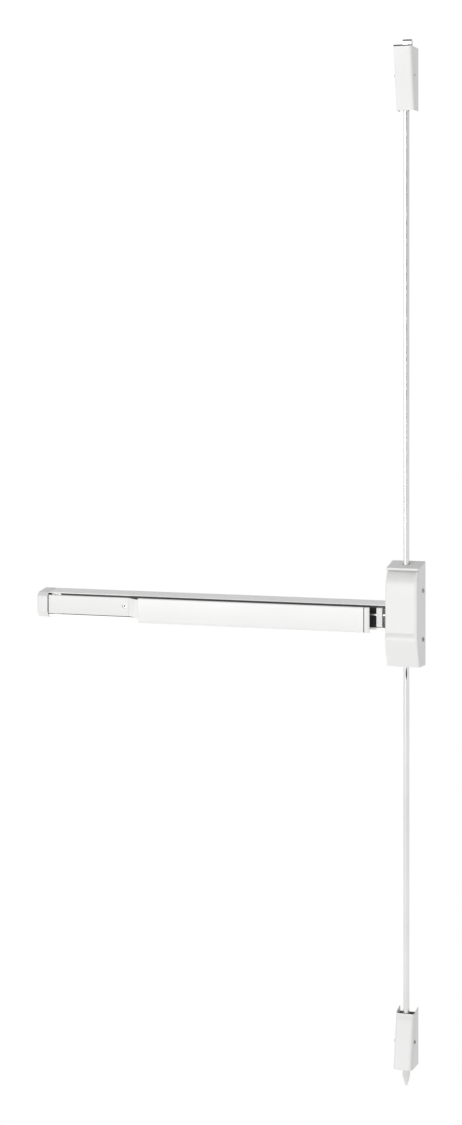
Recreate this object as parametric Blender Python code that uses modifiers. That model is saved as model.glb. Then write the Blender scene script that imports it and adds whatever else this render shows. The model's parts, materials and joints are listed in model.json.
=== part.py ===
"""Surface vertical rod panic exit bar: a touchbar that draws two rods and unlatches a door.

Frame, in metres: +X along the bar towards the lock side, +Y into the door, +Z up. The door's face is
the plane Y = 0 and the origin is the centre of the centre case's back face.
"""

from math import atan2, cos, pi, radians, sin, tan

import bmesh
import bpy
from mathutils import Matrix, Vector

GAP = 0.0003                 # between two pieces that touch
RUN = 0.0010                 # around a piece that moves

# Travel
PAD_STROKE = 0.0160          # push pad, towards the door
RAIL_CRANK_TURN = 0.50       # radians, both rail cranks
CASE_CRANK_TURN = 0.60       # radians, both case cranks
TOP_BOLT_TURN = radians(50)

# Centre case
CASE_WIDTH = 0.0700
CASE_TOP = 0.1085
CASE_BOTTOM = -0.1030
CASE_TOP_DROP = 0.0110       # the top face falls this much from back to front
CASE_LIP_DEPTH = 0.0480      # front lip of the top face
CASE_DEPTH = 0.0620          # deepest part of the front
CASE_CHIN_DEPTH = 0.0440     # front of the bottom edge
CASE_RIM = 0.0064            # rim on both sides of the scooped front
CASE_CORNER = 0.0060
CASE_WALL = 0.0020
CHASSIS_SHEET = 0.0030
CASE_SCREW_Z = (0.0500, -0.0490)
CASE_SCREW_DEPTH = 0.0200

# Rail, fixed to the door between the case and the hinge side
RAIL_START = -0.7870         # end at the end cap
CASE_GAP = 0.0015            # between the rail and the case
RAIL_TOP = 0.0256            # at the door
RAIL_SHOULDER = 0.0203       # at the front of the sloping top
RAIL_BOTTOM = -0.0315
RAIL_DEPTH = 0.0400
RAIL_WALL = 0.0025
RAIL_LIP_TOP = 0.0172        # edges of the rail's open front
RAIL_LIP_BOTTOM = -0.0262
FILLER_DEPTH = 0.0430
FILLER_SHEET = 0.0016
FILLER_GAP = 0.0015          # above and below a filler, up to the rail's edges
SHORT_FILLER_X = (-0.0560, -0.0440)
SHORT_FILLER_DEPTH = 0.0450  # it stays in front of the drive bar
END_CAP_LENGTH = 0.0260
END_CAP_DEPTH = 0.0450
END_CAP_SHOULDER = 0.0370    # depth where the cap's top and bottom turn into its chamfers
END_CAP_FACE = (-0.0208, 0.0118)
END_CAP_TUCK = 0.0005        # the cap's shoulder lies this much under the rail's
END_CAP_SKIRT = 0.0015       # the cap reaches this much below the rail
END_CAP_WALL = 0.0022
BRACKET_SHEET = 0.0030
END_SCREW_REACH = 0.0140     # from the rail's end
END_SCREW_DEPTH = 0.0180
END_SCREW_SHANK = 0.0020

# Push pad
PAD_LEFT = -0.5730
PAD_RIGHT = -0.0775
PAD_DEPTH = 0.0620
PAD_TOP = 0.0165
PAD_BOTTOM = -0.0355
PAD_SHEET = 0.0020
PAD_RETURN = 0.0050          # short edge that turns back at the top
PAD_LOWER_RETURN = 0.0100    # edge that turns back under the rail
PAD_LOWER_RADIUS = 0.0080
PAD_LEG_GAP = 0.0020         # from the pad's legs to the rail's open edges
PAD_CAP_LENGTH = 0.0270      # ramp on the hinge side
PAD_CAP_RIGHT_LENGTH = 0.0110
PAD_CAP_SHEET = 0.0035       # the right cap stays in front of the drive bar

# Rail cranks and drive bar
RAIL_CRANK_X = (-0.4700, -0.1700)
RAIL_CRANK_DEPTH = 0.0180
DRIVE_ARM = 0.0190           # from the pivots to the drive bar's line
CRANK_SHEET = 0.0040
CRANK_PIN_RADIUS = 0.0030
LINK_PIN_RADIUS = 0.0022
DRIVE_BAR_WIDTH = 0.0100
DRIVE_BAR_SHEET = 0.0030
DRIVE_BAR_START = -0.5600
SLOT_PLAY = 0.0006           # around a pin that works in a slotted arm
GUIDE_X = (-0.0735, -0.0605)

# Dogging
DOG_X = -0.6110
DOG_Z = -0.0030
DOG_HOLE_RADIUS = 0.0050
DOG_SPINDLE_RADIUS = 0.0040
DOG_HEX = 0.0040             # across flats

# Case cranks
CASE_CRANK_X = -0.0195
ROD_ARM = -CASE_CRANK_X      # the rod pin lies on the rods' axis
CASE_CRANK_HALF = 0.0042     # half width of the arms

# Rods
ROD_DEPTH = 0.0200
ROD_RADIUS = 0.00635
UPPER_ROD_START = 0.0980      # the rods run into the case
LOWER_ROD_START = -0.0980
SLIDE_END = 0.0620            # height of the slides' outer ends
STUD_RADIUS = 0.0032
NUT_FLATS = 0.0125
NUT_LENGTH = 0.0060

# Top latch
LATCH_WIDTH = 0.0400
TOP_LATCH_TOP = 1.1560
TOP_LATCH_BOTTOM = 1.0270
TOP_DEEP = 0.0515
ROD_TO_COVER = 0.00265       # from the rods to the front of a latch cover at its thin end
LATCH_WALL = 0.0018
LATCH_CORNER = 0.0060
BOLT_TIP = 1.1740
BOLT_WIDTH = 0.0180
BOLT_THICK = 0.0110
BOLT_PIVOT_DEPTH = 0.0105
BOLT_PIVOT_Z = 1.1380
LEVER_SHEET = 0.0080
FORK_CLEAR = 0.00065         # from the bolt's pin to the fork on the rod
TOP_SCREW_Z = 1.0980
TOP_SCREW_DEPTH = 0.0300

# Bottom latch
BOTTOM_LATCH_TOP = -0.8030
BOTTOM_LATCH_BOTTOM = -0.9190
BOTTOM_DROP = 0.0075         # the top edge falls this much from back to front
FLOOR_BOLT_TIP = -0.9600
FLOOR_BOLT_RADIUS = 0.0080
FLOOR_BOLT_NOSE = 0.0256     # length of the tapered end
BOTTOM_SCREW_Z = -0.8660
BOTTOM_SCREW_DEPTH = 0.0300

# Values that follow from the ones above
PAD_MIDDLE = (RAIL_LIP_TOP + RAIL_LIP_BOTTOM) / 2
RAIL_SWING = RAIL_CRANK_TURN / 2
CASE_SWING = CASE_CRANK_TURN / 2
BOLT_SWING = TOP_BOLT_TURN / 2
PAD_ARM = PAD_STROKE / (2 * sin(RAIL_SWING))
DRIVE_TRAVEL = 2 * DRIVE_ARM * tan(RAIL_SWING)
CASE_ARM = DRIVE_TRAVEL / (2 * tan(CASE_SWING))
ROD_TRAVEL = 2 * ROD_ARM * tan(CASE_SWING)
BOLT_ARM = ROD_TRAVEL / (2 * tan(BOLT_SWING))
RAIL_END = -CASE_WIDTH / 2 - CASE_GAP
LATCH_SHALLOW = ROD_DEPTH + ROD_RADIUS + ROD_TO_COVER
DRIVE_BAR_DEPTH = RAIL_CRANK_DEPTH + DRIVE_ARM
DRIVE_BAR_Z = PAD_MIDDLE + CRANK_SHEET / 2 + RUN
UPPER_PIVOT_Z = PAD_MIDDLE + CASE_ARM
LOWER_PIVOT_Z = PAD_MIDDLE - CASE_ARM
UPPER_PIN_Z = UPPER_PIVOT_Z + ROD_TRAVEL / 2
LOWER_PIN_Z = LOWER_PIVOT_Z - ROD_TRAVEL / 2
LEVER_PIN_Z = BOLT_PIVOT_Z + ROD_TRAVEL / 2
LEVER_PIN_DEPTH = BOLT_PIVOT_DEPTH + BOLT_ARM

COLOURS = {
    "silver": ((0.80, 0.80, 0.79), 0.42, 0.55),
    "pad": ((0.86, 0.86, 0.85), 0.38, 0.55),
    "zinc": ((0.62, 0.62, 0.60), 0.35, 0.90),
    "steel": ((0.45, 0.45, 0.46), 0.30, 1.00),
    "black": ((0.03, 0.03, 0.03), 0.55, 0.00),
}


# ---------------------------------------------------------------- helpers

def clear_scene():
    for item in list(bpy.data.objects):
        bpy.data.objects.remove(item, do_unlink=True)


def new_collection(name):
    group = bpy.data.collections.new(name)
    bpy.context.scene.collection.children.link(group)
    return group


def material(name, finish):
    colour, roughness, metallic = COLOURS[finish]
    surface = bpy.data.materials.new(name)
    surface.use_nodes = True
    shader = surface.node_tree.nodes["Principled BSDF"]
    shader.inputs["Base Color"].default_value = (*colour, 1.0)
    shader.inputs["Roughness"].default_value = roughness
    shader.inputs["Metallic"].default_value = metallic
    return surface


def place(name, mesh, group, finish=None, matrix=None):
    """A new object on its own material, or a cutter when it has no finish."""
    thing = bpy.data.objects.new(name, mesh)
    group.objects.link(thing)
    if matrix is not None:
        thing.matrix_world = matrix
    if finish is None:
        thing.hide_render = True
        thing.display_type = "WIRE"
    else:
        mesh.materials.clear()
        mesh.materials.append(material(name, finish))
    return thing


def shade(thing, degrees=35):
    thing.data.shade_smooth()
    thing.data.set_sharp_from_angle(angle=radians(degrees))
    return thing


def mesh_from(build):
    """A mesh made by a function that fills a bmesh."""
    work = bmesh.new()
    build(work)
    bmesh.ops.recalc_face_normals(work, faces=work.faces)
    mesh = bpy.data.meshes.new("mesh")
    work.to_mesh(mesh)
    work.free()
    return mesh


def block(name, x, y, z, group, finish=None):
    """A box between two values on each axis."""
    size = Vector((x[1] - x[0], y[1] - y[0], z[1] - z[0]))
    centre = Vector((x[0] + x[1], y[0] + y[1], z[0] + z[1])) / 2

    def build(work):
        bmesh.ops.create_cube(work, size=1.0)
        bmesh.ops.scale(work, vec=size, verts=work.verts)

    return place(name, mesh_from(build), group, finish, Matrix.Translation(centre))


def along(start, end):
    """The matrix that puts a +Z shape's middle between two points."""
    start = Vector(start)
    end = Vector(end)
    turn = (end - start).to_track_quat("Z", "Y").to_matrix().to_4x4()
    return Matrix.Translation((start + end) / 2) @ turn


def bar(name, start, end, radius, group, finish=None, sides=24):
    """A round bar between two points; six sides give a hexagon."""
    length = (Vector(end) - Vector(start)).length

    def build(work):
        bmesh.ops.create_cone(work, cap_ends=True, segments=sides, radius1=radius,
                              radius2=radius, depth=length)

    return place(name, mesh_from(build), group, finish, along(start, end))


PLANES = {
    "XY": Matrix.Identity(4),
    "XZ": Matrix.Rotation(radians(90), 4, "X"),
    "YZ": Matrix.Rotation(radians(90), 4, "Z") @ Matrix.Rotation(radians(90), 4, "X"),
}


def plate(name, outlines, plane, middle, thickness, group, finish=None):
    """Flat outlines, holes after the first, made thick across their plane."""
    flat = bpy.data.curves.new(name, "CURVE")
    flat.dimensions = "2D"
    flat.fill_mode = "BOTH"
    flat.extrude = thickness / 2
    for outline in outlines:
        spline = flat.splines.new("POLY")
        spline.points.add(len(outline) - 1)
        for point, (u, v) in zip(spline.points, outline):
            point.co = (u, v, 0.0, 1.0)
        spline.use_cyclic_u = True
    guide = bpy.data.objects.new(name + "_outline", flat)
    group.objects.link(guide)
    bpy.context.view_layer.update()
    settled = guide.evaluated_get(bpy.context.evaluated_depsgraph_get())
    mesh = bpy.data.meshes.new_from_object(settled)
    work = bmesh.new()
    work.from_mesh(mesh)
    bmesh.ops.remove_doubles(work, verts=work.verts, dist=0.00001)
    bmesh.ops.recalc_face_normals(work, faces=work.faces)
    work.to_mesh(mesh)
    work.free()
    bpy.data.objects.remove(guide, do_unlink=True)
    across = {"XY": (0, 0, middle), "XZ": (0, middle, 0), "YZ": (middle, 0, 0)}[plane]
    return place(name, mesh, group, finish, Matrix.Translation(across) @ PLANES[plane])


def arc(centre, radius, start, end, steps):
    """Points on an arc, in degrees, both ends included."""
    turns = [radians(start + (end - start) * i / steps) for i in range(steps + 1)]
    return [(centre[0] + radius * cos(t), centre[1] + radius * sin(t)) for t in turns]


def circle(centre, radius, steps=16):
    return arc(centre, radius, 0, 360 - 360 / steps, steps - 1)


def slot_outline(start, end, radius, steps=6):
    """A slot with round ends between two points."""
    dx = end[0] - start[0]
    dy = end[1] - start[1]
    heading = atan2(dy, dx) * 180 / pi
    first = arc(start, radius, heading + 90, heading + 270, steps)
    return first + arc(end, radius, heading - 90, heading + 90, steps)


def turned(name, profile, start, direction, group, finish, steps=20):
    """A profile of (radius, height), top first, turned about a line through start."""
    def build(work):
        rim = [work.verts.new((radius, 0.0, height)) for radius, height in profile]
        for a, b in zip(rim, rim[1:]):
            work.edges.new((a, b))

    mesh = bpy.data.meshes.new(name)
    work = bmesh.new()
    build(work)
    work.to_mesh(mesh)
    work.free()
    turn = Vector(direction).to_track_quat("Z", "Y").to_matrix().to_4x4()
    thing = place(name, mesh, group, finish, Matrix.Translation(start) @ turn)
    screw = thing.modifiers.new("turn", "SCREW")
    screw.steps = steps
    screw.render_steps = steps
    screw.use_merge_vertices = True
    screw.merge_threshold = 0.00001
    return thing


def combine(thing, other, operation="DIFFERENCE"):
    boolean = thing.modifiers.new(other.name, "BOOLEAN")
    boolean.operation = operation
    boolean.solver = "EXACT"
    boolean.object = other
    return thing


def settle(thing):
    """Apply what the modifiers make, so that the piece can be joined to another."""
    bpy.context.view_layer.update()
    made = thing.evaluated_get(bpy.context.evaluated_depsgraph_get())
    mesh = bpy.data.meshes.new_from_object(made)
    thing.modifiers.clear()
    thing.data = mesh
    return thing


def soften(thing, width, segments=2, degrees=40):
    bevel = thing.modifiers.new("round", "BEVEL")
    bevel.width = width
    bevel.segments = segments
    bevel.limit_method = "ANGLE"
    bevel.angle_limit = radians(degrees)
    return thing


def crank_outline(pivot, tip_a, tip_b, half):
    """A two-armed lever; tip_b is turned anticlockwise from tip_a about the pivot."""
    angle_a = atan2(tip_a[1] - pivot[1], tip_a[0] - pivot[0])
    angle_b = atan2(tip_b[1] - pivot[1], tip_b[0] - pivot[0])
    if angle_b < angle_a:
        angle_b += 2 * pi
    reach = half / sin(angle_b - angle_a)
    crook = (pivot[0] + reach * (cos(angle_a) + cos(angle_b)),
             pivot[1] + reach * (sin(angle_a) + sin(angle_b)))
    a = angle_a * 180 / pi
    b = angle_b * 180 / pi
    outline = arc(tip_a, half, a - 90, a + 90, 8) + [crook]
    outline += arc(tip_b, half, b - 90, b + 90, 8)
    return outline + arc(pivot, half, b + 90, a + 270, 6)


def arm_slot(pivot, tip, straight, pin_radius):
    """The slot in a lever's arm for a pin that moves on a straight line past the pivot."""
    heading = Vector((tip[0] - pivot[0], tip[1] - pivot[1])).normalized()
    far = (Vector(tip) - Vector(pivot)).length
    inner = Vector(pivot) + heading * straight
    outer = Vector(pivot) + heading * far
    return slot_outline(inner, outer, pin_radius + SLOT_PLAY)


def screw(name, start, direction, head, shank, length, group):
    """A pan head screw: the head's underside is at start and the head points along direction."""
    height = head * 0.45
    crown = [(0.0, height), (head * 0.45, height), (head * 0.8, height * 0.8), (head, height * 0.25),
             (head, 0.0), (shank, 0.0), (shank, -length), (0.0, -length)]
    thing = settle(turned(name, crown, start, direction, group, "zinc", 16))
    work = bmesh.new()
    work.from_mesh(thing.data)
    bmesh.ops.remove_doubles(work, verts=work.verts, dist=0.00001)
    bmesh.ops.recalc_face_normals(work, faces=work.faces)
    work.to_mesh(thing.data)
    work.free()
    return shade(thing)


def nut(name, centre_xy, bottom, group):
    x, y = centre_xy
    corner = NUT_FLATS / 2 / cos(pi / 6)
    shape = [circle((x, y), corner, 6), circle((x, y), STUD_RADIUS + GAP, 12)]
    return plate(name, shape, "XY", bottom + NUT_LENGTH / 2, NUT_LENGTH, group, "zinc")


def coil(name, centre_xy, bottom, top, radius, wire, turns, group):
    """A compression spring along Z."""
    line = bpy.data.curves.new(name, "CURVE")
    line.dimensions = "3D"
    line.bevel_depth = wire
    line.bevel_resolution = 1
    line.use_fill_caps = True
    spline = line.splines.new("POLY")
    steps = turns * 12
    spline.points.add(steps)
    low = bottom + wire
    high = top - wire
    for i, point in enumerate(spline.points):
        turn = 2 * pi * i / 12
        height = low + (high - low) * i / steps
        point.co = (centre_xy[0] + radius * cos(turn), centre_xy[1] + radius * sin(turn), height, 1)
    guide = bpy.data.objects.new(name + "_line", line)
    group.objects.link(guide)
    bpy.context.view_layer.update()
    mesh = bpy.data.meshes.new_from_object(guide.evaluated_get(bpy.context.evaluated_depsgraph_get()))
    work = bmesh.new()
    work.from_mesh(mesh)
    bmesh.ops.remove_doubles(work, verts=work.verts, dist=0.00001)
    bmesh.ops.recalc_face_normals(work, faces=work.faces)
    work.to_mesh(mesh)
    work.free()
    bpy.data.objects.remove(guide, do_unlink=True)
    return shade(place(name, mesh, group, "steel"))


def shell(name, levels, cap_top, wall, group, finish):
    """A cover: open outlines stacked from the top down, optionally capped, with a wall inside."""
    work = bmesh.new()
    rows = [[work.verts.new(point) for point in level] for level in levels]
    for upper, lower in zip(rows, rows[1:]):
        for i in range(len(upper) - 1):
            work.faces.new((upper[i], lower[i], lower[i + 1], upper[i + 1]))
    if cap_top:
        work.faces.new(rows[0])
    mesh = bpy.data.meshes.new(name)
    work.to_mesh(mesh)
    work.free()
    thing = place(name, mesh, group, finish)
    thick = thing.modifiers.new("wall", "SOLIDIFY")
    thick.thickness = wall
    thick.offset = -1.0
    thick.use_even_offset = True
    thick.use_quality_normals = True
    return thing


# ---------------------------------------------------------------- rail and pad

def rail_section():
    """The rail's C-shaped section, as (Y, Z) points."""
    inner = RAIL_WALL
    drop = (RAIL_TOP - RAIL_SHOULDER) / (RAIL_DEPTH - 0.003)
    return [(0, RAIL_BOTTOM), (0, RAIL_TOP), (-(RAIL_DEPTH - 0.003), RAIL_SHOULDER),
            (-RAIL_DEPTH, RAIL_SHOULDER - 0.003), (-RAIL_DEPTH, RAIL_LIP_TOP - 0.0012),
            (-(RAIL_DEPTH - inner), RAIL_LIP_TOP - 0.0012),
            (-(RAIL_DEPTH - inner), RAIL_SHOULDER - inner + drop * 0.0005),
            (-inner, RAIL_TOP - inner), (-inner, RAIL_BOTTOM + inner),
            (-(RAIL_DEPTH - inner), RAIL_BOTTOM + inner), (-(RAIL_DEPTH - inner), RAIL_LIP_BOTTOM),
            (-RAIL_DEPTH, RAIL_LIP_BOTTOM), (-RAIL_DEPTH, RAIL_BOTTOM + 0.002),
            (-(RAIL_DEPTH - 0.002), RAIL_BOTTOM)]


def channel_section(front, sheet, top, bottom, back):
    """A channel that opens towards the door, as (Y, Z) points."""
    return [(-back, top), (-(front - 0.001), top), (-front, top - 0.001), (-front, bottom + 0.001),
            (-(front - 0.001), bottom), (-back, bottom), (-back, bottom + sheet),
            (-(front - sheet), bottom + sheet), (-(front - sheet), top - sheet), (-back, top - sheet)]


def pad_section():
    """The pad's face with returned edges, round at the bottom, and two legs that reach into the rail."""
    face = -PAD_DEPTH
    inner = face + PAD_SHEET
    edge = face + PAD_RETURN
    low_edge = face + PAD_LOWER_RETURN
    back = -(RAIL_DEPTH - 0.0100)
    leg_top = RAIL_LIP_TOP - 0.0012 - PAD_LEG_GAP
    leg_bottom = RAIL_LIP_BOTTOM + PAD_LEG_GAP
    centre = (face + PAD_LOWER_RADIUS, PAD_BOTTOM + PAD_LOWER_RADIUS)
    outer = arc(centre, PAD_LOWER_RADIUS, 180, 270, 5)
    hollow = arc(centre, PAD_LOWER_RADIUS - PAD_SHEET, 270, 180, 5)
    return ([(edge, PAD_TOP), (face + 0.0020, PAD_TOP), (face + 0.0006, PAD_TOP - 0.0006),
             (face, PAD_TOP - 0.0020)] + outer +
            [(low_edge, PAD_BOTTOM), (low_edge, PAD_BOTTOM + PAD_SHEET)] + hollow +
            [(inner, leg_bottom), (back, leg_bottom), (back, leg_bottom + PAD_SHEET),
             (inner, leg_bottom + PAD_SHEET), (inner, leg_top - PAD_SHEET), (back, leg_top - PAD_SHEET),
             (back, leg_top), (inner, leg_top), (inner, PAD_TOP - PAD_SHEET), (edge, PAD_TOP - PAD_SHEET)])


def run_along_x(name, section, x0, x1, group, finish):
    return plate(name, [section], "YZ", (x0 + x1) / 2, x1 - x0, group, finish)


def make_rail(parts, cutters):
    run_along_x("base_rail", rail_section(), RAIL_START, RAIL_END, parts, "silver")
    top = RAIL_LIP_TOP - 0.0012 - FILLER_GAP
    bottom = RAIL_LIP_BOTTOM + FILLER_GAP
    section = channel_section(FILLER_DEPTH, FILLER_SHEET, top, bottom, RAIL_DEPTH - 0.010)
    filler_end = PAD_LEFT - PAD_CAP_LENGTH - RUN
    filler = run_along_x("filler_plate", section, RAIL_START + GAP, filler_end, parts, "silver")
    short = channel_section(SHORT_FILLER_DEPTH, FILLER_SHEET, top, bottom, RAIL_DEPTH - 0.010)
    run_along_x("short_filler_plate", short, *SHORT_FILLER_X, parts, "silver")
    hole = bar("dogging_hole", (DOG_X, -FILLER_DEPTH - 0.002, DOG_Z),
               (DOG_X, -FILLER_DEPTH + 0.004, DOG_Z), DOG_HOLE_RADIUS, cutters)
    combine(filler, hole)
    guide_front = -(RAIL_DEPTH - RAIL_WALL - 0.0005)
    guide_back = -(RAIL_WALL + GAP)
    notch = -(DRIVE_BAR_DEPTH - DRIVE_BAR_WIDTH / 2 - RUN)
    low = RAIL_BOTTOM + RAIL_WALL + GAP
    high = RAIL_LIP_TOP - 0.0015
    above = DRIVE_BAR_Z + DRIVE_BAR_SHEET + RUN
    below = DRIVE_BAR_Z - RUN
    guide = [(guide_back, low), (guide_back, high), (guide_front, high),
             (guide_front, above), (notch, above), (notch, below), (guide_front, below), (guide_front, low)]
    run_along_x("drive_bar_guide", guide, *GUIDE_X, parts, "black")


def make_end(parts, cutters):
    """The end cap, the bracket that holds the rail's hinge end, and its screws."""
    left = RAIL_START - END_CAP_LENGTH
    right = RAIL_START - GAP
    face_low, face_high = END_CAP_FACE
    shoulder = RAIL_SHOULDER - END_CAP_TUCK
    base = RAIL_BOTTOM - END_CAP_SKIRT
    section = [(0, RAIL_TOP), (-END_CAP_SHOULDER, shoulder), (-END_CAP_DEPTH, face_high),
               (-END_CAP_DEPTH, face_low), (-END_CAP_SHOULDER, base), (0, base)]
    cap = run_along_x("rail_end_cap", section, left, right, parts, "silver")
    wall = END_CAP_WALL
    past = 0.002
    hollow = [(past, RAIL_TOP - wall), (-END_CAP_SHOULDER + wall / 2, shoulder - wall),
              (-END_CAP_DEPTH + wall, face_high - wall / 2), (-END_CAP_DEPTH + wall, face_low + wall / 2),
              (-END_CAP_SHOULDER + wall / 2, base + wall), (past, base + wall)]
    inside = run_along_x("end_cap_hollow", hollow, left + wall, right + past, cutters, None)
    combine(cap, inside)
    low = RAIL_BOTTOM + RAIL_WALL + GAP
    high = RAIL_SHOULDER - RAIL_WALL - GAP - 0.001
    plate_left = left + wall + RUN
    bracket = block("rail_end_bracket", (plate_left, RAIL_START - GAP), (-BRACKET_SHEET, 0),
                    (low, high), parts, "zinc")
    for side, z in (("lower", low), ("upper", high - BRACKET_SHEET)):
        tongue = block(side + "_tongue", (plate_left, RAIL_START + 0.024),
                       (-0.0300, -BRACKET_SHEET + 0.0002), (z, z + BRACKET_SHEET), cutters)
        combine(bracket, tongue, "UNION")
    x = RAIL_START + END_SCREW_REACH
    y = -END_SCREW_DEPTH
    hole = bar("end_screw_hole", (x, y, RAIL_BOTTOM - past), (x, y, low + 0.005), END_SCREW_SHANK + GAP,
               cutters, sides=16)
    combine(bpy.data.objects["base_rail"], hole)
    combine(bracket, hole)
    screw("rail_end_screw", (x, y, RAIL_BOTTOM - GAP), (0, 0, -1), 0.0042, END_SCREW_SHANK, 0.0060, parts)


def make_pad(parts):
    run_along_x("push_pad", pad_section(), PAD_LEFT, PAD_RIGHT, parts, "pad")
    top = RAIL_LIP_TOP - 0.0012 - PAD_LEG_GAP
    bottom = RAIL_LIP_BOTTOM + PAD_LEG_GAP
    start = PAD_LEFT - PAD_CAP_LENGTH
    front = FILLER_DEPTH + 0.0015
    lip = 0.0020
    ramp = [(start, -front + lip), (start, -front), (PAD_LEFT - 0.004, -PAD_DEPTH),
            (PAD_LEFT - GAP, -PAD_DEPTH), (PAD_LEFT - GAP, -PAD_DEPTH + lip),
            (PAD_LEFT - 0.004, -PAD_DEPTH + lip)]
    plate("pad_end_cap_left", [ramp], "XY", (top + bottom) / 2, top - bottom, parts, "pad")
    right = PAD_RIGHT + PAD_CAP_RIGHT_LENGTH
    cap = block("pad_end_cap_right", (PAD_RIGHT + GAP, right), (-PAD_DEPTH, -PAD_DEPTH + PAD_CAP_SHEET),
                (PAD_BOTTOM, PAD_TOP), parts, "silver")
    soften(cap, 0.0015)


def rail_crank_points(x):
    """Pivot, pad tip, drive tip and drive pin of a rail crank, as (X, Y) points."""
    pivot = (x, -RAIL_CRANK_DEPTH)
    pad_tip = (x - PAD_ARM * cos(RAIL_SWING), -RAIL_CRANK_DEPTH - PAD_ARM * sin(RAIL_SWING))
    pin = (x + DRIVE_ARM * tan(RAIL_SWING), -DRIVE_BAR_DEPTH)
    return pivot, pad_tip, pin


def make_drive(parts, cutters):
    """The two rail cranks on their brackets, the pad's feet and the drive bar."""
    half = 0.0050
    low = PAD_MIDDLE - CRANK_SHEET / 2
    bar_top = DRIVE_BAR_Z + DRIVE_BAR_SHEET
    pin_holes = []
    for side, x in zip(("left", "right"), RAIL_CRANK_X):
        pivot, pad_tip, pin = rail_crank_points(x)
        shape = [crank_outline(pivot, pad_tip, pin, half),
                 circle(pivot, CRANK_PIN_RADIUS + GAP, 12),
                 arm_slot(pivot, pin, DRIVE_ARM, LINK_PIN_RADIUS)]
        plate("rail_crank_" + side, shape, "XY", PAD_MIDDLE, CRANK_SHEET, parts, "zinc")
        ear = CRANK_SHEET / 2 + RUN
        back = -(RAIL_WALL + GAP)
        front = -(RAIL_CRANK_DEPTH + 0.006)
        sheet = 0.0020
        section = [(back, PAD_MIDDLE - ear - sheet), (back, PAD_MIDDLE + ear + sheet),
                   (front, PAD_MIDDLE + ear + sheet), (front, PAD_MIDDLE + ear),
                   (back - sheet, PAD_MIDDLE + ear), (back - sheet, PAD_MIDDLE - ear),
                   (front, PAD_MIDDLE - ear), (front, PAD_MIDDLE - ear - sheet)]
        bracket = run_along_x("rail_crank_bracket_" + side, section, x - 0.007, x + 0.007, parts, "zinc")
        reach = ear + sheet + 0.0015
        top = (x, pivot[1], PAD_MIDDLE + reach)
        bottom = (x, pivot[1], PAD_MIDDLE - reach)
        hole = bar("bracket_hole_" + side, (x, pivot[1], PAD_MIDDLE - reach - 0.001),
                   (x, pivot[1], PAD_MIDDLE + reach + 0.001), CRANK_PIN_RADIUS + GAP, cutters, sides=12)
        combine(bracket, hole)
        shade(bar("rail_crank_pin_" + side, bottom, top, CRANK_PIN_RADIUS, parts, "steel", sides=12))
        shade(bar("drive_bar_pin_" + side, (*pin, low - 0.001), (*pin, bar_top + 0.001),
                  LINK_PIN_RADIUS, parts, "steel", sides=12))
        pin_holes.append(circle(pin, LINK_PIN_RADIUS + GAP, 12))
        nose = 0.0040
        end = pad_tip[1] - half - SLOT_PLAY - nose
        seat = -PAD_DEPTH + PAD_SHEET + GAP
        foot = [(pad_tip[0] - nose, seat), (pad_tip[0] + nose, seat)]
        foot += arc((pad_tip[0], end), nose, 0, 180, 8)
        foot_top = DRIVE_BAR_Z - RUN
        foot_bottom = low - 0.004
        plate("pad_foot_" + side, [foot], "XY", (foot_top + foot_bottom) / 2,
              foot_top - foot_bottom, parts, "black")
    y0 = -DRIVE_BAR_DEPTH - DRIVE_BAR_WIDTH / 2
    y1 = y0 + DRIVE_BAR_WIDTH
    end = CASE_CRANK_X + DRIVE_TRAVEL / 2 + 0.005
    strip = [(DRIVE_BAR_START, y0), (end, y0), (end, y1), (DRIVE_BAR_START, y1)]
    plate("drive_bar", [strip] + pin_holes, "XY", DRIVE_BAR_Z + DRIVE_BAR_SHEET / 2,
          DRIVE_BAR_SHEET, parts, "zinc")


def make_dogging(parts):
    """The hex key spindle behind the filler, with its hold-back cam."""
    front = -(FILLER_DEPTH - FILLER_SHEET - GAP)
    corner = DOG_HEX / 2 / cos(pi / 6)
    radius = DOG_SPINDLE_RADIUS
    socket_depth = 0.006
    shape = [circle((DOG_X, DOG_Z), radius + 0.0020, 16), circle((DOG_X, DOG_Z), corner, 6)]
    ring = plate("dogging_spindle", shape, "XZ", front + socket_depth / 2, socket_depth, parts, "steel")
    shaft_start = front + socket_depth - 0.0002
    shaft = bar("spindle_shaft", (DOG_X, shaft_start, DOG_Z), (DOG_X, -0.012, DOG_Z), radius,
                bpy.data.collections["cutters"], sides=16)
    combine(ring, shaft, "UNION")
    cam_y = -0.0200
    tip = (DOG_X, DOG_Z - 0.012)
    outline = slot_outline((DOG_X, DOG_Z), tip, 0.0065, 8)
    cam = plate("spindle_cam", [outline], "XZ", cam_y, 0.003, bpy.data.collections["cutters"])
    combine(ring, cam, "UNION")


# ---------------------------------------------------------------- centre case

CASE_ROWS = (1.0, 0.955, 0.94, 0.90, 0.84, 0.72, 0.50, 0.34, 0.30, 0.22, 0.08, 0.0)


def case_front(share):
    """Depth of the case's front rim at a share of its height, 0 at the bottom and 1 at the top."""
    if share > 0.8:
        return CASE_LIP_DEPTH + (CASE_DEPTH - CASE_LIP_DEPTH) * sin(pi / 2 * (1 - share) / 0.2)
    if share > 0.35:
        return CASE_DEPTH
    return CASE_CHIN_DEPTH + (CASE_DEPTH - CASE_CHIN_DEPTH) * sin(pi / 2 * share / 0.35)


def case_scoop(share):
    """How far the middle of the front lies behind its rim: a cove under the lip that runs out downwards."""
    if share > 0.95 or share < 0.24:
        return 0.0
    if share > 0.32:
        return 0.0030 + 0.0080 * ((share - 0.32) / 0.63) ** 2
    return 0.0015


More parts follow.
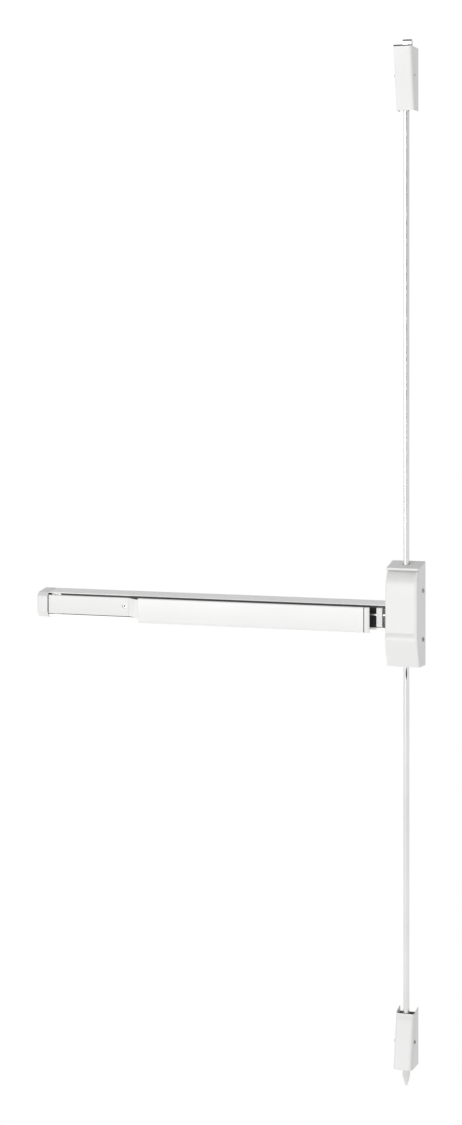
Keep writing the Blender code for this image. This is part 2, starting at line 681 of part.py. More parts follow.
def case_level(share):
    """The case's outline at one height, from its left back edge round to its right one."""
    height = CASE_BOTTOM + (CASE_TOP - CASE_BOTTOM) * share
    half = CASE_WIDTH / 2
    front = case_front(share)
    scoop = case_scoop(share)
    r = CASE_CORNER
    inner = half - CASE_RIM
    right = [(half, 0.0), (half, -(front - r)), (half - 0.3 * r, -(front - 0.3 * r)), (half - r, -front),
             (inner - 0.001, -front), (inner - 0.003, -(front - scoop)), (inner * 0.5, -(front - scoop))]
    left = [(-x, y) for x, y in right]
    outline = left + right[::-1]
    drop = CASE_TOP_DROP * max(0.0, (share - 0.90) / 0.10)
    return [(x, y, height + drop * y / CASE_LIP_DEPTH) for x, y in outline]


def make_case_cover(parts, cutters):
    levels = [case_level(share) for share in CASE_ROWS]
    cover = shell("case_cover", levels, True, CASE_WALL, parts, "silver")
    rod_hole = bar("rod_hole", (0, -ROD_DEPTH, CASE_TOP - 0.02), (0, -ROD_DEPTH, CASE_TOP + 0.01),
                   ROD_RADIUS + 0.0015, cutters)
    combine(cover, rod_hole)
    margin = 0.0015
    y0 = -DRIVE_BAR_DEPTH - DRIVE_BAR_WIDTH / 2 - margin
    y1 = y0 + DRIVE_BAR_WIDTH + 2 * margin
    window = block("drive_window", (-CASE_WIDTH / 2 - 0.001, -CASE_WIDTH / 2 + CASE_WALL + 0.001),
                   (y0, y1), (DRIVE_BAR_Z - margin, DRIVE_BAR_Z + DRIVE_BAR_SHEET + margin), cutters)
    combine(cover, window)
    shank = 0.0020
    for z in CASE_SCREW_Z:
        left = (-CASE_WIDTH, -CASE_SCREW_DEPTH, z)
        right = (CASE_WIDTH, -CASE_SCREW_DEPTH, z)
        hole = bar("case_screw_hole", left, right, shank + GAP, cutters, sides=12)
        combine(cover, hole)
        combine(bpy.data.objects["case_chassis"], hole)
        for side, turn in (("left", -1), ("right", 1)):
            level = "upper" if z > 0 else "lower"
            screw("case_cover_screw_" + level + "_" + side,
                  (turn * (CASE_WIDTH / 2 + GAP), -CASE_SCREW_DEPTH, z), (turn, 0, 0),
                  0.0046, shank, 0.0060, parts)


def make_chassis(parts, cutters):
    """The plate that the case's works are built on, with side tabs for the cover's screws."""
    half = CASE_WIDTH / 2 - CASE_WALL - GAP
    low = CASE_BOTTOM + 0.004
    high = CASE_TOP - CASE_WALL - 0.003
    chassis = block("case_chassis", (-half + 0.002, half - 0.002), (-CHASSIS_SHEET, 0),
                    (low, high), parts, "zinc")
    tab = 0.0022
    for z in CASE_SCREW_Z:
        for turn in (-1, 1):
            x = sorted((turn * half, turn * (half - tab)))
            ear = block("chassis_tab", x, (-CASE_SCREW_DEPTH - 0.007, -0.0002), (z - 0.008, z + 0.008),
                        cutters)
            combine(chassis, ear, "UNION")


def case_crank(name, pivot, turn, near, parts):
    """One case crank: turn is 1 for the upper one, whose rod arm rises to the right at rest."""
    drive = (pivot[0] + CASE_ARM * tan(CASE_SWING), PAD_MIDDLE)
    rod = (0.0, pivot[1] + turn * ROD_TRAVEL / 2)
    arms = (drive, rod) if turn > 0 else (rod, drive)
    half = CASE_CRANK_HALF
    shape = [crank_outline(pivot, *arms, half), circle(pivot, CRANK_PIN_RADIUS + GAP, 12),
             arm_slot(pivot, drive, CASE_ARM, LINK_PIN_RADIUS),
             arm_slot(pivot, rod, ROD_ARM, LINK_PIN_RADIUS)]
    sheet = 0.0030
    plate(name, shape, "XZ", -(near + sheet / 2), sheet, parts, "zinc")


def make_slide(name, turn, pin_z, crank_near, lug, parts, cutters):
    """A slide with a fixed pin that joins a crank to a rod's stud: turn is 1 for the upper one."""
    half = 0.0090
    end = turn * SLIDE_END
    low = pin_z - turn * 0.008
    shape = [(-half, low), (half, low), (half, end), (-half, end)]
    if lug:
        shape = [(-half, low), (half, low), (half, lug - 0.005), (half + 0.012, lug - 0.005),
                 (half + 0.012, lug), (half, lug), (half, end), (-half, end)]
    near = ROD_DEPTH - 0.0065
    thick = 0.0070
    slide = plate(name, [shape], "XZ", -(near + thick / 2), thick, parts, "zinc")
    pin = bar(name + "_pin", (0, -crank_near - 0.004, pin_z), (0, -near - 0.001, pin_z), LINK_PIN_RADIUS,
              cutters, sides=12)
    combine(slide, pin, "UNION")
    return end


def make_case_works(parts, cutters):
    near_upper = 0.0215
    near_lower = near_upper + 0.0040
    upper = (CASE_CRANK_X, UPPER_PIVOT_Z)
    lower = (CASE_CRANK_X, LOWER_PIVOT_Z)
    case_crank("upper_case_crank", upper, 1, near_upper, parts)
    case_crank("lower_case_crank", lower, -1, near_lower, parts)
    for side, pivot, near in (("upper", upper, near_upper), ("lower", lower, near_lower)):
        shade(bar(side + "_crank_pin", (pivot[0], -near - 0.005, pivot[1]),
                  (pivot[0], -CHASSIS_SHEET - GAP, pivot[1]), CRANK_PIN_RADIUS, parts, "steel", sides=12))
    pin_x = CASE_CRANK_X + CASE_ARM * tan(CASE_SWING)
    hook_near = near_lower + 0.0030 + 0.0038
    front = (pin_x, -hook_near - 0.0040, PAD_MIDDLE)
    back = (pin_x, -near_upper + 0.001, PAD_MIDDLE)
    shade(bar("drive_pin", front, back, LINK_PIN_RADIUS, parts, "steel", sides=12))
    top = DRIVE_BAR_Z + 0.0010
    hook = [(pin_x - CASE_CRANK_HALF, PAD_MIDDLE - 0.005), (pin_x + 0.005, PAD_MIDDLE - 0.005),
            (pin_x + 0.005, top), (pin_x - CASE_CRANK_HALF, top)]
    end = plate("drive_bar_hook", [hook, circle((pin_x, PAD_MIDDLE), LINK_PIN_RADIUS + GAP, 12)], "XZ",
                -(hook_near + 0.0015), 0.0030, cutters)
    combine(bpy.data.objects["drive_bar"], end, "UNION")
    lug = 0.0450
    ends = {}
    slides = (("upper", 1, UPPER_PIN_Z, near_upper), ("lower", -1, LOWER_PIN_Z, near_lower))
    for side, turn, pin_z, near in slides:
        ends[side] = make_slide(side + "_slide", turn, pin_z, near, lug if turn > 0 else None, parts, cutters)
        half = 0.0090 + RUN
        back = -(CHASSIS_SHEET + GAP)
        front = -(ROD_DEPTH + STUD_RADIUS + RUN)
        sheet = 0.0018
        strap = [(-half - sheet, back), (-half, back), (-half, front), (half, front), (half, back),
                 (half + sheet, back), (half + sheet, front - sheet), (-half - sheet, front - sheet)]
        z0 = turn * 0.049
        plate(side + "_slide_guide", [strap], "XY", z0 + turn * 0.004, 0.008, parts, "zinc")
    spring_x = 0.0150
    shelf = 0.0120
    shelf_x = (spring_x - 0.0060, spring_x + 0.0060)
    ledge = block("spring_shelf", shelf_x, (-0.0235, -0.0002), (shelf - 0.003, shelf), cutters)
    combine(bpy.data.objects["case_chassis"], ledge, "UNION")
    coil("case_return_spring", (spring_x, -(ROD_DEPTH - 0.003)), shelf + GAP, lug - 0.005 - GAP, 0.0045,
         0.0006, 6, parts)
    return ends


def make_rods(parts, ends):
    """Both rods with the studs and lock nuts that join them to the slides in the case."""
    for side, start, turn in (("upper", UPPER_ROD_START, 1), ("lower", LOWER_ROD_START, -1)):
        begin = ends[side] + turn * GAP
        shade(bar(side + "_rod_stud", (0, -ROD_DEPTH, begin), (0, -ROD_DEPTH, start - turn * GAP),
                  STUD_RADIUS, parts, "steel", sides=12))
        bottom = start - GAP - 0.0005 - NUT_LENGTH if turn > 0 else start + GAP + 0.0005
        nut(side + "_lock_nut", (0, -ROD_DEPTH), bottom, parts)
    top = LEVER_PIN_Z - 0.0300
    shade(bar("upper_rod", (0, -ROD_DEPTH, UPPER_ROD_START), (0, -ROD_DEPTH, top - GAP), ROD_RADIUS,
              parts, "silver"))
    shade(bar("lower_rod", (0, -ROD_DEPTH, BOTTOM_LATCH_TOP - 0.042), (0, -ROD_DEPTH, LOWER_ROD_START),
              ROD_RADIUS, parts, "silver"))


# ---------------------------------------------------------------- latches

def latch_level(width, depth, height, drop=0.0):
    """A latch cover's outline at one height, from its left back edge round to its right one."""
    half = width / 2
    r = LATCH_CORNER
    corner = [(half - r + r * cos(t), -(depth - r) - r * sin(t)) for t in
              [radians(22.5 * i) for i in range(5)]]
    right = [(half, 0.0)] + corner
    left = [(-x, y) for x, y in right]
    outline = left + right[::-1]
    return [(x, y, height + drop * y / depth) for x, y in outline]


def latch_base(name, z0, z1, tab_z, tab_depth, parts, cutters):
    half = LATCH_WIDTH / 2 - LATCH_WALL - GAP
    base = block(name, (-half, half), (-CHASSIS_SHEET, 0), (z0, z1), parts, "zinc")
    for turn in (-1, 1):
        x = sorted((turn * half, turn * (half - 0.0022)))
        tab = block(name + "_tab", x, (-tab_depth - 0.003, -0.0002), (tab_z - 0.007, tab_z + 0.007),
                    cutters)
        combine(base, tab, "UNION")
    return base


def latch_screws(prefix, cover, base, z, depth, parts, cutters):
    shank = 0.0018
    reach = LATCH_WIDTH
    hole = bar(prefix + "_screw_hole", (-reach, -depth, z), (reach, -depth, z), shank + GAP, cutters,
               sides=12)
    combine(cover, hole)
    combine(base, hole)
    for side, turn in (("left", -1), ("right", 1)):
        screw(prefix + "_cover_screw_" + side, (turn * (LATCH_WIDTH / 2 + GAP), -depth, z), (turn, 0, 0),
              0.0040, shank, 0.0050, parts)


def make_top_latch(parts, cutters):
    levels = [latch_level(LATCH_WIDTH, TOP_DEEP, TOP_LATCH_TOP),
              latch_level(LATCH_WIDTH, LATCH_SHALLOW, TOP_LATCH_BOTTOM)]
    cover = shell("top_latch_cover", levels, True, LATCH_WALL, parts, "silver")
    half = BOLT_WIDTH / 2 + RUN
    reach = BOLT_TIP - BOLT_PIVOT_Z
    far = BOLT_PIVOT_DEPTH + reach * sin(TOP_BOLT_TURN) + BOLT_THICK / 2
    opening = block("bolt_opening", (-half, half), (-far - RUN, -0.0030),
                    (TOP_LATCH_TOP - 0.006, TOP_LATCH_TOP + 0.01), cutters)
    combine(cover, opening)
    base = latch_base("top_latch_base", TOP_LATCH_BOTTOM + 0.003, TOP_LATCH_TOP - 0.004, TOP_SCREW_Z,
                      TOP_SCREW_DEPTH, parts, cutters)
    inner = BOLT_WIDTH / 2 + RUN
    for turn in (-1, 1):
        x = sorted((turn * inner, turn * (inner + 0.0025)))
        cheek = block("bolt_cheek", x, (-BOLT_PIVOT_DEPTH - 0.008, -0.0002),
                      (BOLT_PIVOT_Z - 0.009, TOP_LATCH_TOP - 0.006), cutters)
        combine(base, cheek, "UNION")
    pin_half = inner + 0.0025 + 0.001
    pin_hole = bar("bolt_pin_hole", (-pin_half, -BOLT_PIVOT_DEPTH, BOLT_PIVOT_Z),
                   (pin_half, -BOLT_PIVOT_DEPTH, BOLT_PIVOT_Z), CRANK_PIN_RADIUS + GAP, cutters, sides=12)
    combine(base, pin_hole)
    shade(bar("top_bolt_pin", (-pin_half, -BOLT_PIVOT_DEPTH, BOLT_PIVOT_Z),
              (pin_half, -BOLT_PIVOT_DEPTH, BOLT_PIVOT_Z), CRANK_PIN_RADIUS, parts, "steel", sides=12))
    latch_screws("top", cover, base, TOP_SCREW_Z, TOP_SCREW_DEPTH, parts, cutters)
    make_top_bolt(parts, cutters)


def make_top_bolt(parts, cutters):
    """The swinging bolt, its lever, and the fork on the upper rod that turns it."""
    pivot = (-BOLT_PIVOT_DEPTH, BOLT_PIVOT_Z)
    lever_pin = (-LEVER_PIN_DEPTH, LEVER_PIN_Z)
    half = BOLT_THICK / 2
    crown = (pivot[0], BOLT_TIP - half)
    shape = [crank_outline(pivot, crown, lever_pin, half), circle(pivot, CRANK_PIN_RADIUS + GAP, 12),
             arm_slot(pivot, lever_pin, BOLT_ARM, LINK_PIN_RADIUS)]
    bolt = plate("top_latch_bolt", shape, "YZ", 0.0, LEVER_SHEET, parts, "steel")
    nose = plate("bolt_nose", [arc(crown, half - 0.0001, 0, 180, 8) +
                               [(crown[0] - half + 0.0001, BOLT_PIVOT_Z + 0.014),
                                (crown[0] + half - 0.0001, BOLT_PIVOT_Z + 0.014)]],
                 "YZ", 0.0, BOLT_WIDTH, cutters)
    combine(bolt, nose, "UNION")
    gap = LEVER_SHEET / 2 + RUN
    wide = gap + 0.0028
    low = LEVER_PIN_Z - 0.0300
    floor = low + 0.0060
    high = LEVER_PIN_Z + 0.0050
    front = LEVER_PIN_DEPTH + 0.0050
    back = BOLT_PIVOT_DEPTH + CRANK_PIN_RADIUS + FORK_CLEAR
    fork = [(-wide, low), (wide, low), (wide, high), (gap, high), (gap, floor), (-gap, floor), (-gap, high),
            (-wide, high)]
    slide = plate("top_rod_fork", [fork], "XZ", -(front + back) / 2, front - back, parts, "zinc")
    reach = wide + 0.0010
    left = (-reach, -LEVER_PIN_DEPTH, LEVER_PIN_Z)
    right = (reach, -LEVER_PIN_DEPTH, LEVER_PIN_Z)
    hole = bar("fork_pin_hole", left, right, LINK_PIN_RADIUS + GAP, cutters, sides=12)
    combine(slide, hole)
    shade(bar("top_fork_pin", left, right, LINK_PIN_RADIUS, parts, "steel", sides=12))


def make_bottom_latch(parts, cutters):
    levels = [latch_level(LATCH_WIDTH, LATCH_SHALLOW, BOTTOM_LATCH_TOP, BOTTOM_DROP),
              latch_level(LATCH_WIDTH, TOP_DEEP, BOTTOM_LATCH_BOTTOM)]
    cover = shell("bottom_latch_cover", levels, False, LATCH_WALL, parts, "silver")
    base = latch_base("bottom_latch_base", BOTTOM_LATCH_BOTTOM + 0.002, BOTTOM_LATCH_TOP - 0.010,
                      BOTTOM_SCREW_Z, BOTTOM_SCREW_DEPTH, parts, cutters)
    bore = FLOOR_BOLT_RADIUS + 0.0004
    wide = FLOOR_BOLT_RADIUS + 0.0035
    front = ROD_DEPTH + wide
    ledge = BOTTOM_LATCH_BOTTOM + 0.002
    block_outline = [(-wide, -front), (wide, -front), (wide, -0.0002), (-wide, -0.0002)]
    guide = plate("bolt_guide", [block_outline, circle((0, -ROD_DEPTH), bore, 24)], "XY", ledge + 0.008,
                  0.016, cutters)
    combine(base, guide, "UNION")
    rod_end = BOTTOM_LATCH_TOP - 0.042
    bolt_top = rod_end - 0.027
    collar = FLOOR_BOLT_RADIUS + 0.0030
    r = FLOOR_BOLT_RADIUS
    nose = [(r * sin(radians(a)), FLOOR_BOLT_TIP + FLOOR_BOLT_NOSE * (1 - cos(radians(a))))
            for a in (90, 65, 40, 18)]
    stem = STUD_RADIUS
    profile = [(0.0, rod_end - GAP), (stem, rod_end - GAP), (stem, bolt_top), (collar, bolt_top),
               (collar, bolt_top - 0.003), (r, bolt_top - 0.003)]
    profile += nose + [(0.0, FLOOR_BOLT_TIP)]
    bolt = settle(turned("bottom_bolt", [(a, b - FLOOR_BOLT_TIP) for a, b in profile],
                         (0, -ROD_DEPTH, FLOOR_BOLT_TIP), (0, 0, 1), parts, "steel", 24))
    work = bmesh.new()
    work.from_mesh(bolt.data)
    bmesh.ops.remove_doubles(work, verts=work.verts, dist=0.00001)
    bmesh.ops.recalc_face_normals(work, faces=work.faces)
    work.to_mesh(bolt.data)
    work.free()
    shade(bolt)
    nut("bottom_lock_nut", (0, -ROD_DEPTH), rod_end - GAP - 0.0005 - NUT_LENGTH, parts)
    seat = rod_end + 0.0010
    opening = ROD_RADIUS + RUN
    strap = plate("spring_seat", [block_outline, circle((0, -ROD_DEPTH), opening, 24)], "XY", seat + 0.001,
                  0.002, cutters)
    combine(base, strap, "UNION")
    coil("bottom_bolt_spring", (0, -ROD_DEPTH), bolt_top + GAP, seat - GAP, 0.0090, 0.0007, 6, parts)
    latch_screws("bottom", cover, base, BOTTOM_SCREW_Z, BOTTOM_SCREW_DEPTH, parts, cutters)


def main():
    clear_scene()
    parts = new_collection("panic_exit_bar")
    cutters = new_collection("cutters")
    make_rail(parts, cutters)
    make_end(parts, cutters)
    make_pad(parts)
    make_drive(parts, cutters)
    make_dogging(parts)
    make_chassis(parts, cutters)
    make_case_cover(parts, cutters)
    ends = make_case_works(parts, cutters)
    make_rods(parts, ends)
    make_top_latch(parts, cutters)
    make_bottom_latch(parts, cutters)


main()
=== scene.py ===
"""Looks for the panic exit bar: fine painted covers, rail, pad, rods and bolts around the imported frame."""

import json
from math import cos, pi, radians, sin, tan

import bmesh
import bpy
from mathutils import Matrix, Vector

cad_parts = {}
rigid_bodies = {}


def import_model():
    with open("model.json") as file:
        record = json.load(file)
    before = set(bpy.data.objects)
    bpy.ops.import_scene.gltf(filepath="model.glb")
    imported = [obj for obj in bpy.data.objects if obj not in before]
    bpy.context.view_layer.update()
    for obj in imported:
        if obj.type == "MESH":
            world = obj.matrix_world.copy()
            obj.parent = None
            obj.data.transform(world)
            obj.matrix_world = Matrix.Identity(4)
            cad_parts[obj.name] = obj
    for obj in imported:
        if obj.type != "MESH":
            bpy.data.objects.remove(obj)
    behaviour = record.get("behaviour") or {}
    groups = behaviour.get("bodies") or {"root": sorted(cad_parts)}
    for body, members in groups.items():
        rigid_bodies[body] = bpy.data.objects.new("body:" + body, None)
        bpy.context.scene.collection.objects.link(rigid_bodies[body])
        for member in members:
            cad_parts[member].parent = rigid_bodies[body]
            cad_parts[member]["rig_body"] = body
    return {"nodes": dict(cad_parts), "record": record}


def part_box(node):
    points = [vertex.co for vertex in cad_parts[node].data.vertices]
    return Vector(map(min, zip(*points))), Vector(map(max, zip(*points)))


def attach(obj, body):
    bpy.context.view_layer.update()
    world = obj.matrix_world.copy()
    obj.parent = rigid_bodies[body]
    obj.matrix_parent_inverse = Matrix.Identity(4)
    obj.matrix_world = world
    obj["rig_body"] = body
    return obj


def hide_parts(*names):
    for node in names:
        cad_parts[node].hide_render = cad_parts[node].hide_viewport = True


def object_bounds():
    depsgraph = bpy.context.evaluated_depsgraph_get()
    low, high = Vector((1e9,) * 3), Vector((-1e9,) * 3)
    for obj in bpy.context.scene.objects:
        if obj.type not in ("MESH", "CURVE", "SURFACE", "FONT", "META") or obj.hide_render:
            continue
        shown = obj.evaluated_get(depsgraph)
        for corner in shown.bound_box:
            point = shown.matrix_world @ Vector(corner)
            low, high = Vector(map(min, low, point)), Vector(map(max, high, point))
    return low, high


for item in list(bpy.data.objects):
    bpy.data.objects.remove(item, do_unlink=True)

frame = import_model()
cad_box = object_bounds()
nodes = frame["nodes"]

# Boxes of the CAD nodes that the fine pieces are built on
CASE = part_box("case_cover")
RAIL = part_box("base_rail")
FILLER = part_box("filler_plate")
END_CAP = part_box("rail_end_cap")
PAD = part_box("push_pad")
PAD_CAP_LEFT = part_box("pad_end_cap_left")
PAD_CAP_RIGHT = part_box("pad_end_cap_right")
TOP_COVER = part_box("top_latch_cover")
BOTTOM_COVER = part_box("bottom_latch_cover")
UPPER_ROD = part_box("upper_rod")
FLOOR_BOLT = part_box("bottom_bolt")

ROD_RADIUS = (UPPER_ROD[1].x - UPPER_ROD[0].x) / 2
ROD_DEPTH = -(UPPER_ROD[1].y + UPPER_ROD[0].y) / 2


# ---------------------------------------------------------------- camera, light and stage

CAMERA_PLACE = (1.263, -4.600, 0.551)
CAMERA_TURN = radians(19.73)
CAMERA_LENS = 74.4
CAMERA_SENSOR = 36.0
CAMERA_SHIFT = -0.1939
CAMERA_REACH = 100.0
HORIZON = 1.02               # strength of the room's light at the horizon
CEILING = 0.55               # and overhead
CEILING_SPAN = (0.20, 0.75)
OPENING_TURN = radians(15.4)  # the dark opening, as seen from the bar
OPENING_SPAN = (cos(radians(30)), cos(radians(12)))
OPENING_LIGHT = 0.12
RIGHT_SIDE = 0.74            # the room is dimmer on the lock side
RIGHT_SPAN = (0.05, 0.90)
KEY_ENERGY = 1.60
KEY_SIZE = radians(20)
KEY_TURN = (radians(87), 0.0, radians(-20))
FLOOR_HALF = 30.0
FLOOR_DROP = 0.012           # below the floor bolt's tip
FLOOR_COLOR = (0.97, 0.97, 0.97, 1.0)
FLOOR_GLOW = 0.38            # the floor is a light table
WHITE = (1.0, 1.0, 1.0, 1.0)


def make_camera():
    """A level camera to the right of the bar, a little above it, that looks down by its shift."""
    camera = bpy.data.objects.new("camera", bpy.data.cameras.new("camera"))
    bpy.context.scene.collection.objects.link(camera)
    camera.location = CAMERA_PLACE
    camera.rotation_euler = (radians(90), 0.0, CAMERA_TURN)
    camera.data.lens = CAMERA_LENS
    camera.data.sensor_width = CAMERA_SENSOR
    camera.data.shift_y = CAMERA_SHIFT
    camera.data.clip_end = CAMERA_REACH
    bpy.context.scene.camera = camera


def make_light():
    """A white room with a dim ceiling, a dark opening behind the camera, and a soft key from the left."""
    world = bpy.data.worlds.new("studio")
    bpy.context.scene.world = world
    world.use_nodes = True
    tree = world.node_tree
    background = tree.nodes["Background"]
    background.inputs["Color"].default_value = WHITE
    where = tree.nodes.new("ShaderNodeTexCoord")
    split = tree.nodes.new("ShaderNodeSeparateXYZ")
    tree.links.new(where.outputs["Generated"], split.inputs["Vector"])
    ceiling = spread(tree, split.outputs["Z"], CEILING_SPAN, (HORIZON, CEILING))
    toward = tree.nodes.new("ShaderNodeVectorMath")
    toward.operation = "DOT_PRODUCT"
    toward.inputs[1].default_value = (sin(OPENING_TURN), -cos(OPENING_TURN), 0.0)
    tree.links.new(where.outputs["Generated"], toward.inputs[0])
    opening = spread(tree, toward.outputs["Value"], OPENING_SPAN, (1.0, OPENING_LIGHT))
    side = spread(tree, split.outputs["X"], RIGHT_SPAN, (1.0, RIGHT_SIDE))
    light = multiply(tree, multiply(tree, ceiling, opening), side)
    tree.links.new(light, background.inputs["Strength"])
    key = bpy.data.lights.new("key", "SUN")
    key.energy = KEY_ENERGY
    key.angle = KEY_SIZE
    lamp = bpy.data.objects.new("key", key)
    lamp.rotation_euler = KEY_TURN
    bpy.context.scene.collection.objects.link(lamp)
    bpy.context.scene.view_settings.view_transform = "Standard"


def multiply(tree, one, other):
    """The product of two values."""
    node = tree.nodes.new("ShaderNodeMath")
    node.operation = "MULTIPLY"
    tree.links.new(one, node.inputs[0])
    tree.links.new(other, node.inputs[1])
    return node.outputs["Value"]


def spread(tree, source, reach, values):
    """A value mapped smoothly from one range to another."""
    node = tree.nodes.new("ShaderNodeMapRange")
    node.interpolation_type = "SMOOTHSTEP"
    node.inputs["From Min"].default_value = reach[0]
    node.inputs["From Max"].default_value = reach[1]
    node.inputs["To Min"].default_value = values[0]
    node.inputs["To Max"].default_value = values[1]
    tree.links.new(source, node.inputs["Value"])
    return node.outputs["Result"]


def make_floor():
    """A wide pale floor just under the floor bolt."""
    mesh = bpy.data.meshes.new("floor")
    work = bmesh.new()
    bmesh.ops.create_grid(work, x_segments=1, y_segments=1, size=FLOOR_HALF)
    work.to_mesh(mesh)
    work.free()
    floor = bpy.data.objects.new("floor", mesh)
    floor.location = (0.0, 0.0, cad_box[0].z - FLOOR_DROP)
    bpy.context.scene.collection.objects.link(floor)
    surface = bpy.data.materials.new("floor")
    surface.use_nodes = True
    shader = surface.node_tree.nodes["Principled BSDF"]
    shader.inputs["Base Color"].default_value = FLOOR_COLOR
    shader.inputs["Roughness"].default_value = 0.9
    shader.inputs["Specular IOR Level"].default_value = 0.1
    shader.inputs["Emission Color"].default_value = WHITE
    shader.inputs["Emission Strength"].default_value = FLOOR_GLOW
    floor.data.materials.append(surface)


# ---------------------------------------------------------------- materials

RAMP_START = 0.35
RAMP_END = 0.65
BUMP_STRENGTH = 0.35


def ramp_between(tree, source, low, high):
    """A colour between low and high that follows the source."""
    ramp = tree.nodes.new("ShaderNodeValToRGB")
    ramp.color_ramp.elements[0].position = RAMP_START
    ramp.color_ramp.elements[1].position = RAMP_END
    ramp.color_ramp.elements[0].color = (*low, 1.0)
    ramp.color_ramp.elements[1].color = (*high, 1.0)
    tree.links.new(source, ramp.inputs["Fac"])
    return ramp.outputs["Color"]


def noise(tree, scale, detail, stretch=(1.0, 1.0, 1.0)):
    """Noise fixed to the object, which can be stretched along its axes."""
    where = tree.nodes.new("ShaderNodeTexCoord")
    mapping = tree.nodes.new("ShaderNodeMapping")
    mapping.inputs["Scale"].default_value = stretch
    texture = tree.nodes.new("ShaderNodeTexNoise")
    texture.inputs["Scale"].default_value = scale
    texture.inputs["Detail"].default_value = detail
    tree.links.new(where.outputs["Object"], mapping.inputs["Vector"])
    tree.links.new(mapping.outputs["Vector"], texture.inputs["Vector"])
    return texture.outputs["Fac"]


def roughness_between(tree, source, low, high):
    """A roughness between low and high that follows the source."""
    node = tree.nodes.new("ShaderNodeMapRange")
    node.inputs["To Min"].default_value = low
    node.inputs["To Max"].default_value = high
    tree.links.new(source, node.inputs["Value"])
    return node.outputs["Result"]


def finish(name, low, high, rough, metallic, grain, grain_depth, stretch=(1, 1, 1), mottle=6.0):
    """A surface with slow colour variation and a fine grain in its bump and roughness."""
    surface = bpy.data.materials.new(name)
    surface.use_nodes = True
    tree = surface.node_tree
    shader = tree.nodes["Principled BSDF"]
    shader.inputs["Metallic"].default_value = metallic
    slow = noise(tree, mottle, 4.0)
    fine = noise(tree, grain, 2.0, stretch)
    tree.links.new(ramp_between(tree, slow, low, high), shader.inputs["Base Color"])
    tree.links.new(roughness_between(tree, fine, *rough), shader.inputs["Roughness"])
    bump = tree.nodes.new("ShaderNodeBump")
    bump.inputs["Strength"].default_value = BUMP_STRENGTH
    bump.inputs["Distance"].default_value = grain_depth
    tree.links.new(fine, bump.inputs["Height"])
    tree.links.new(bump.outputs["Normal"], shader.inputs["Normal"])
    return surface


def make_materials():
    """Every finish by its short name."""
    return {
        "paint": finish("satin_paint", (0.655, 0.655, 0.650), (0.680, 0.680, 0.675), (0.36, 0.50), 0.0,
                        1400.0, 0.00006),
        "rail": finish("rail_anodised", (0.820, 0.820, 0.815), (0.850, 0.850, 0.845), (0.36, 0.50), 0.0,
                       1400.0, 0.00005, (0.3, 6.0, 6.0)),
        "pad": finish("pad_paint", (0.690, 0.690, 0.685), (0.715, 0.715, 0.710), (0.34, 0.46), 0.0, 1500.0,
                      0.00005),
        "rod": finish("rod_paint", (0.70, 0.70, 0.695), (0.76, 0.76, 0.755), (0.13, 0.22), 0.85, 1200.0,
                      0.00001, (6.0, 6.0, 0.25)),
        "bright": finish("bright_plate", (0.64, 0.64, 0.63), (0.72, 0.72, 0.71), (0.20, 0.32), 0.75, 900.0,
                         0.00001, mottle=40.0),
        "zinc": finish("zinc_plate", (0.42, 0.42, 0.40), (0.52, 0.52, 0.49), (0.30, 0.46), 0.9, 700.0,
                       0.00003, mottle=60.0),
        "steel": finish("turned_steel", (0.34, 0.34, 0.345), (0.42, 0.42, 0.425), (0.22, 0.36), 1.0, 900.0,
                        0.00002, (1.0, 1.0, 7.0), mottle=40.0),
        "screw": finish("screw_steel", (0.30, 0.30, 0.30), (0.40, 0.40, 0.40), (0.28, 0.42), 0.9, 1500.0,
                        0.00002, mottle=90.0),
        "spring": finish("spring_wire", (0.16, 0.16, 0.17), (0.24, 0.24, 0.25), (0.25, 0.40), 1.0, 1600.0,
                         0.00001, mottle=80.0),
        # black plastic; the same black also paints shade: the strips in the rail's front gap, the strip along
        # the top cover's front, the drive bar guide inside the rail's end, and the case's shadow on the lower
        # rod
        "black": finish("black_plastic", (0.012, 0.012, 0.012), (0.022, 0.022, 0.022), (0.42, 0.60), 0.0,
                        1800.0, 0.00004, mottle=50.0),
    }


SLOT_MATERIAL = {
    "painted_cover": "paint", "painted_pad": "pad", "painted_rod": "rod", "black_plastic": "black",
    "steel": "steel", "screw_steel": "screw", "spring_steel": "spring", "zinc_plate": "zinc",
}


def paint_cad_nodes(materials):
    """Give each CAD node the finish of its material slot."""
    for part in frame["record"]["subparts"]:
        node = nodes[part["node"]]
        node.data.materials.clear()
        node.data.materials.append(materials[SLOT_MATERIAL[part["material_slot"]]])


# ---------------------------------------------------------------- mesh helpers

SHARP = radians(32)          # smooth faces turn by less than this at their edges
CORNER_STEPS = 6


def new_piece(name, work, material=None):
    """An object from a bmesh, smooth with sharp edges."""
    mesh = bpy.data.meshes.new(name)
    work.to_mesh(mesh)
    work.free()
    mesh.shade_smooth()
    mesh.set_sharp_from_angle(angle=SHARP)
    piece = bpy.data.objects.new(name, mesh)
    bpy.context.scene.collection.objects.link(piece)
    if material is not None:
        mesh.materials.append(material)
    return piece


def settle(piece, angle=SHARP):
    """Apply every modifier and shade the result."""
    bpy.context.view_layer.update()
    made = piece.evaluated_get(bpy.context.evaluated_depsgraph_get())
    mesh = bpy.data.meshes.new_from_object(made)
    piece.modifiers.clear()
    piece.data = mesh
    mesh.shade_smooth()
    mesh.set_sharp_from_angle(angle=angle)
    return piece


def bevel(piece, width, degrees=30):
    """Round the piece's edges that turn by more than the angle."""
    modifier = piece.modifiers.new("bevel", "BEVEL")
    modifier.width = width
    modifier.segments = 2
    modifier.limit_method = "ANGLE"
    modifier.angle_limit = radians(degrees)
    modifier.harden_normals = False


def cut(piece, cutter):
    """Take the cutter out of the piece, and remove the cutter."""
    boolean = piece.modifiers.new("cut", "BOOLEAN")
    boolean.operation = "DIFFERENCE"
    boolean.solver = "EXACT"
    boolean.object = cutter
    settle(piece)
    bpy.data.objects.remove(cutter, do_unlink=True)


def stand_for(piece, node):
    """The piece rides with the CAD node's body and replaces it."""
    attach(piece, nodes[node]["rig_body"])
    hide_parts(node)


def ride_black(piece, body):
    """An added black piece rides with the body."""
    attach(piece, body)


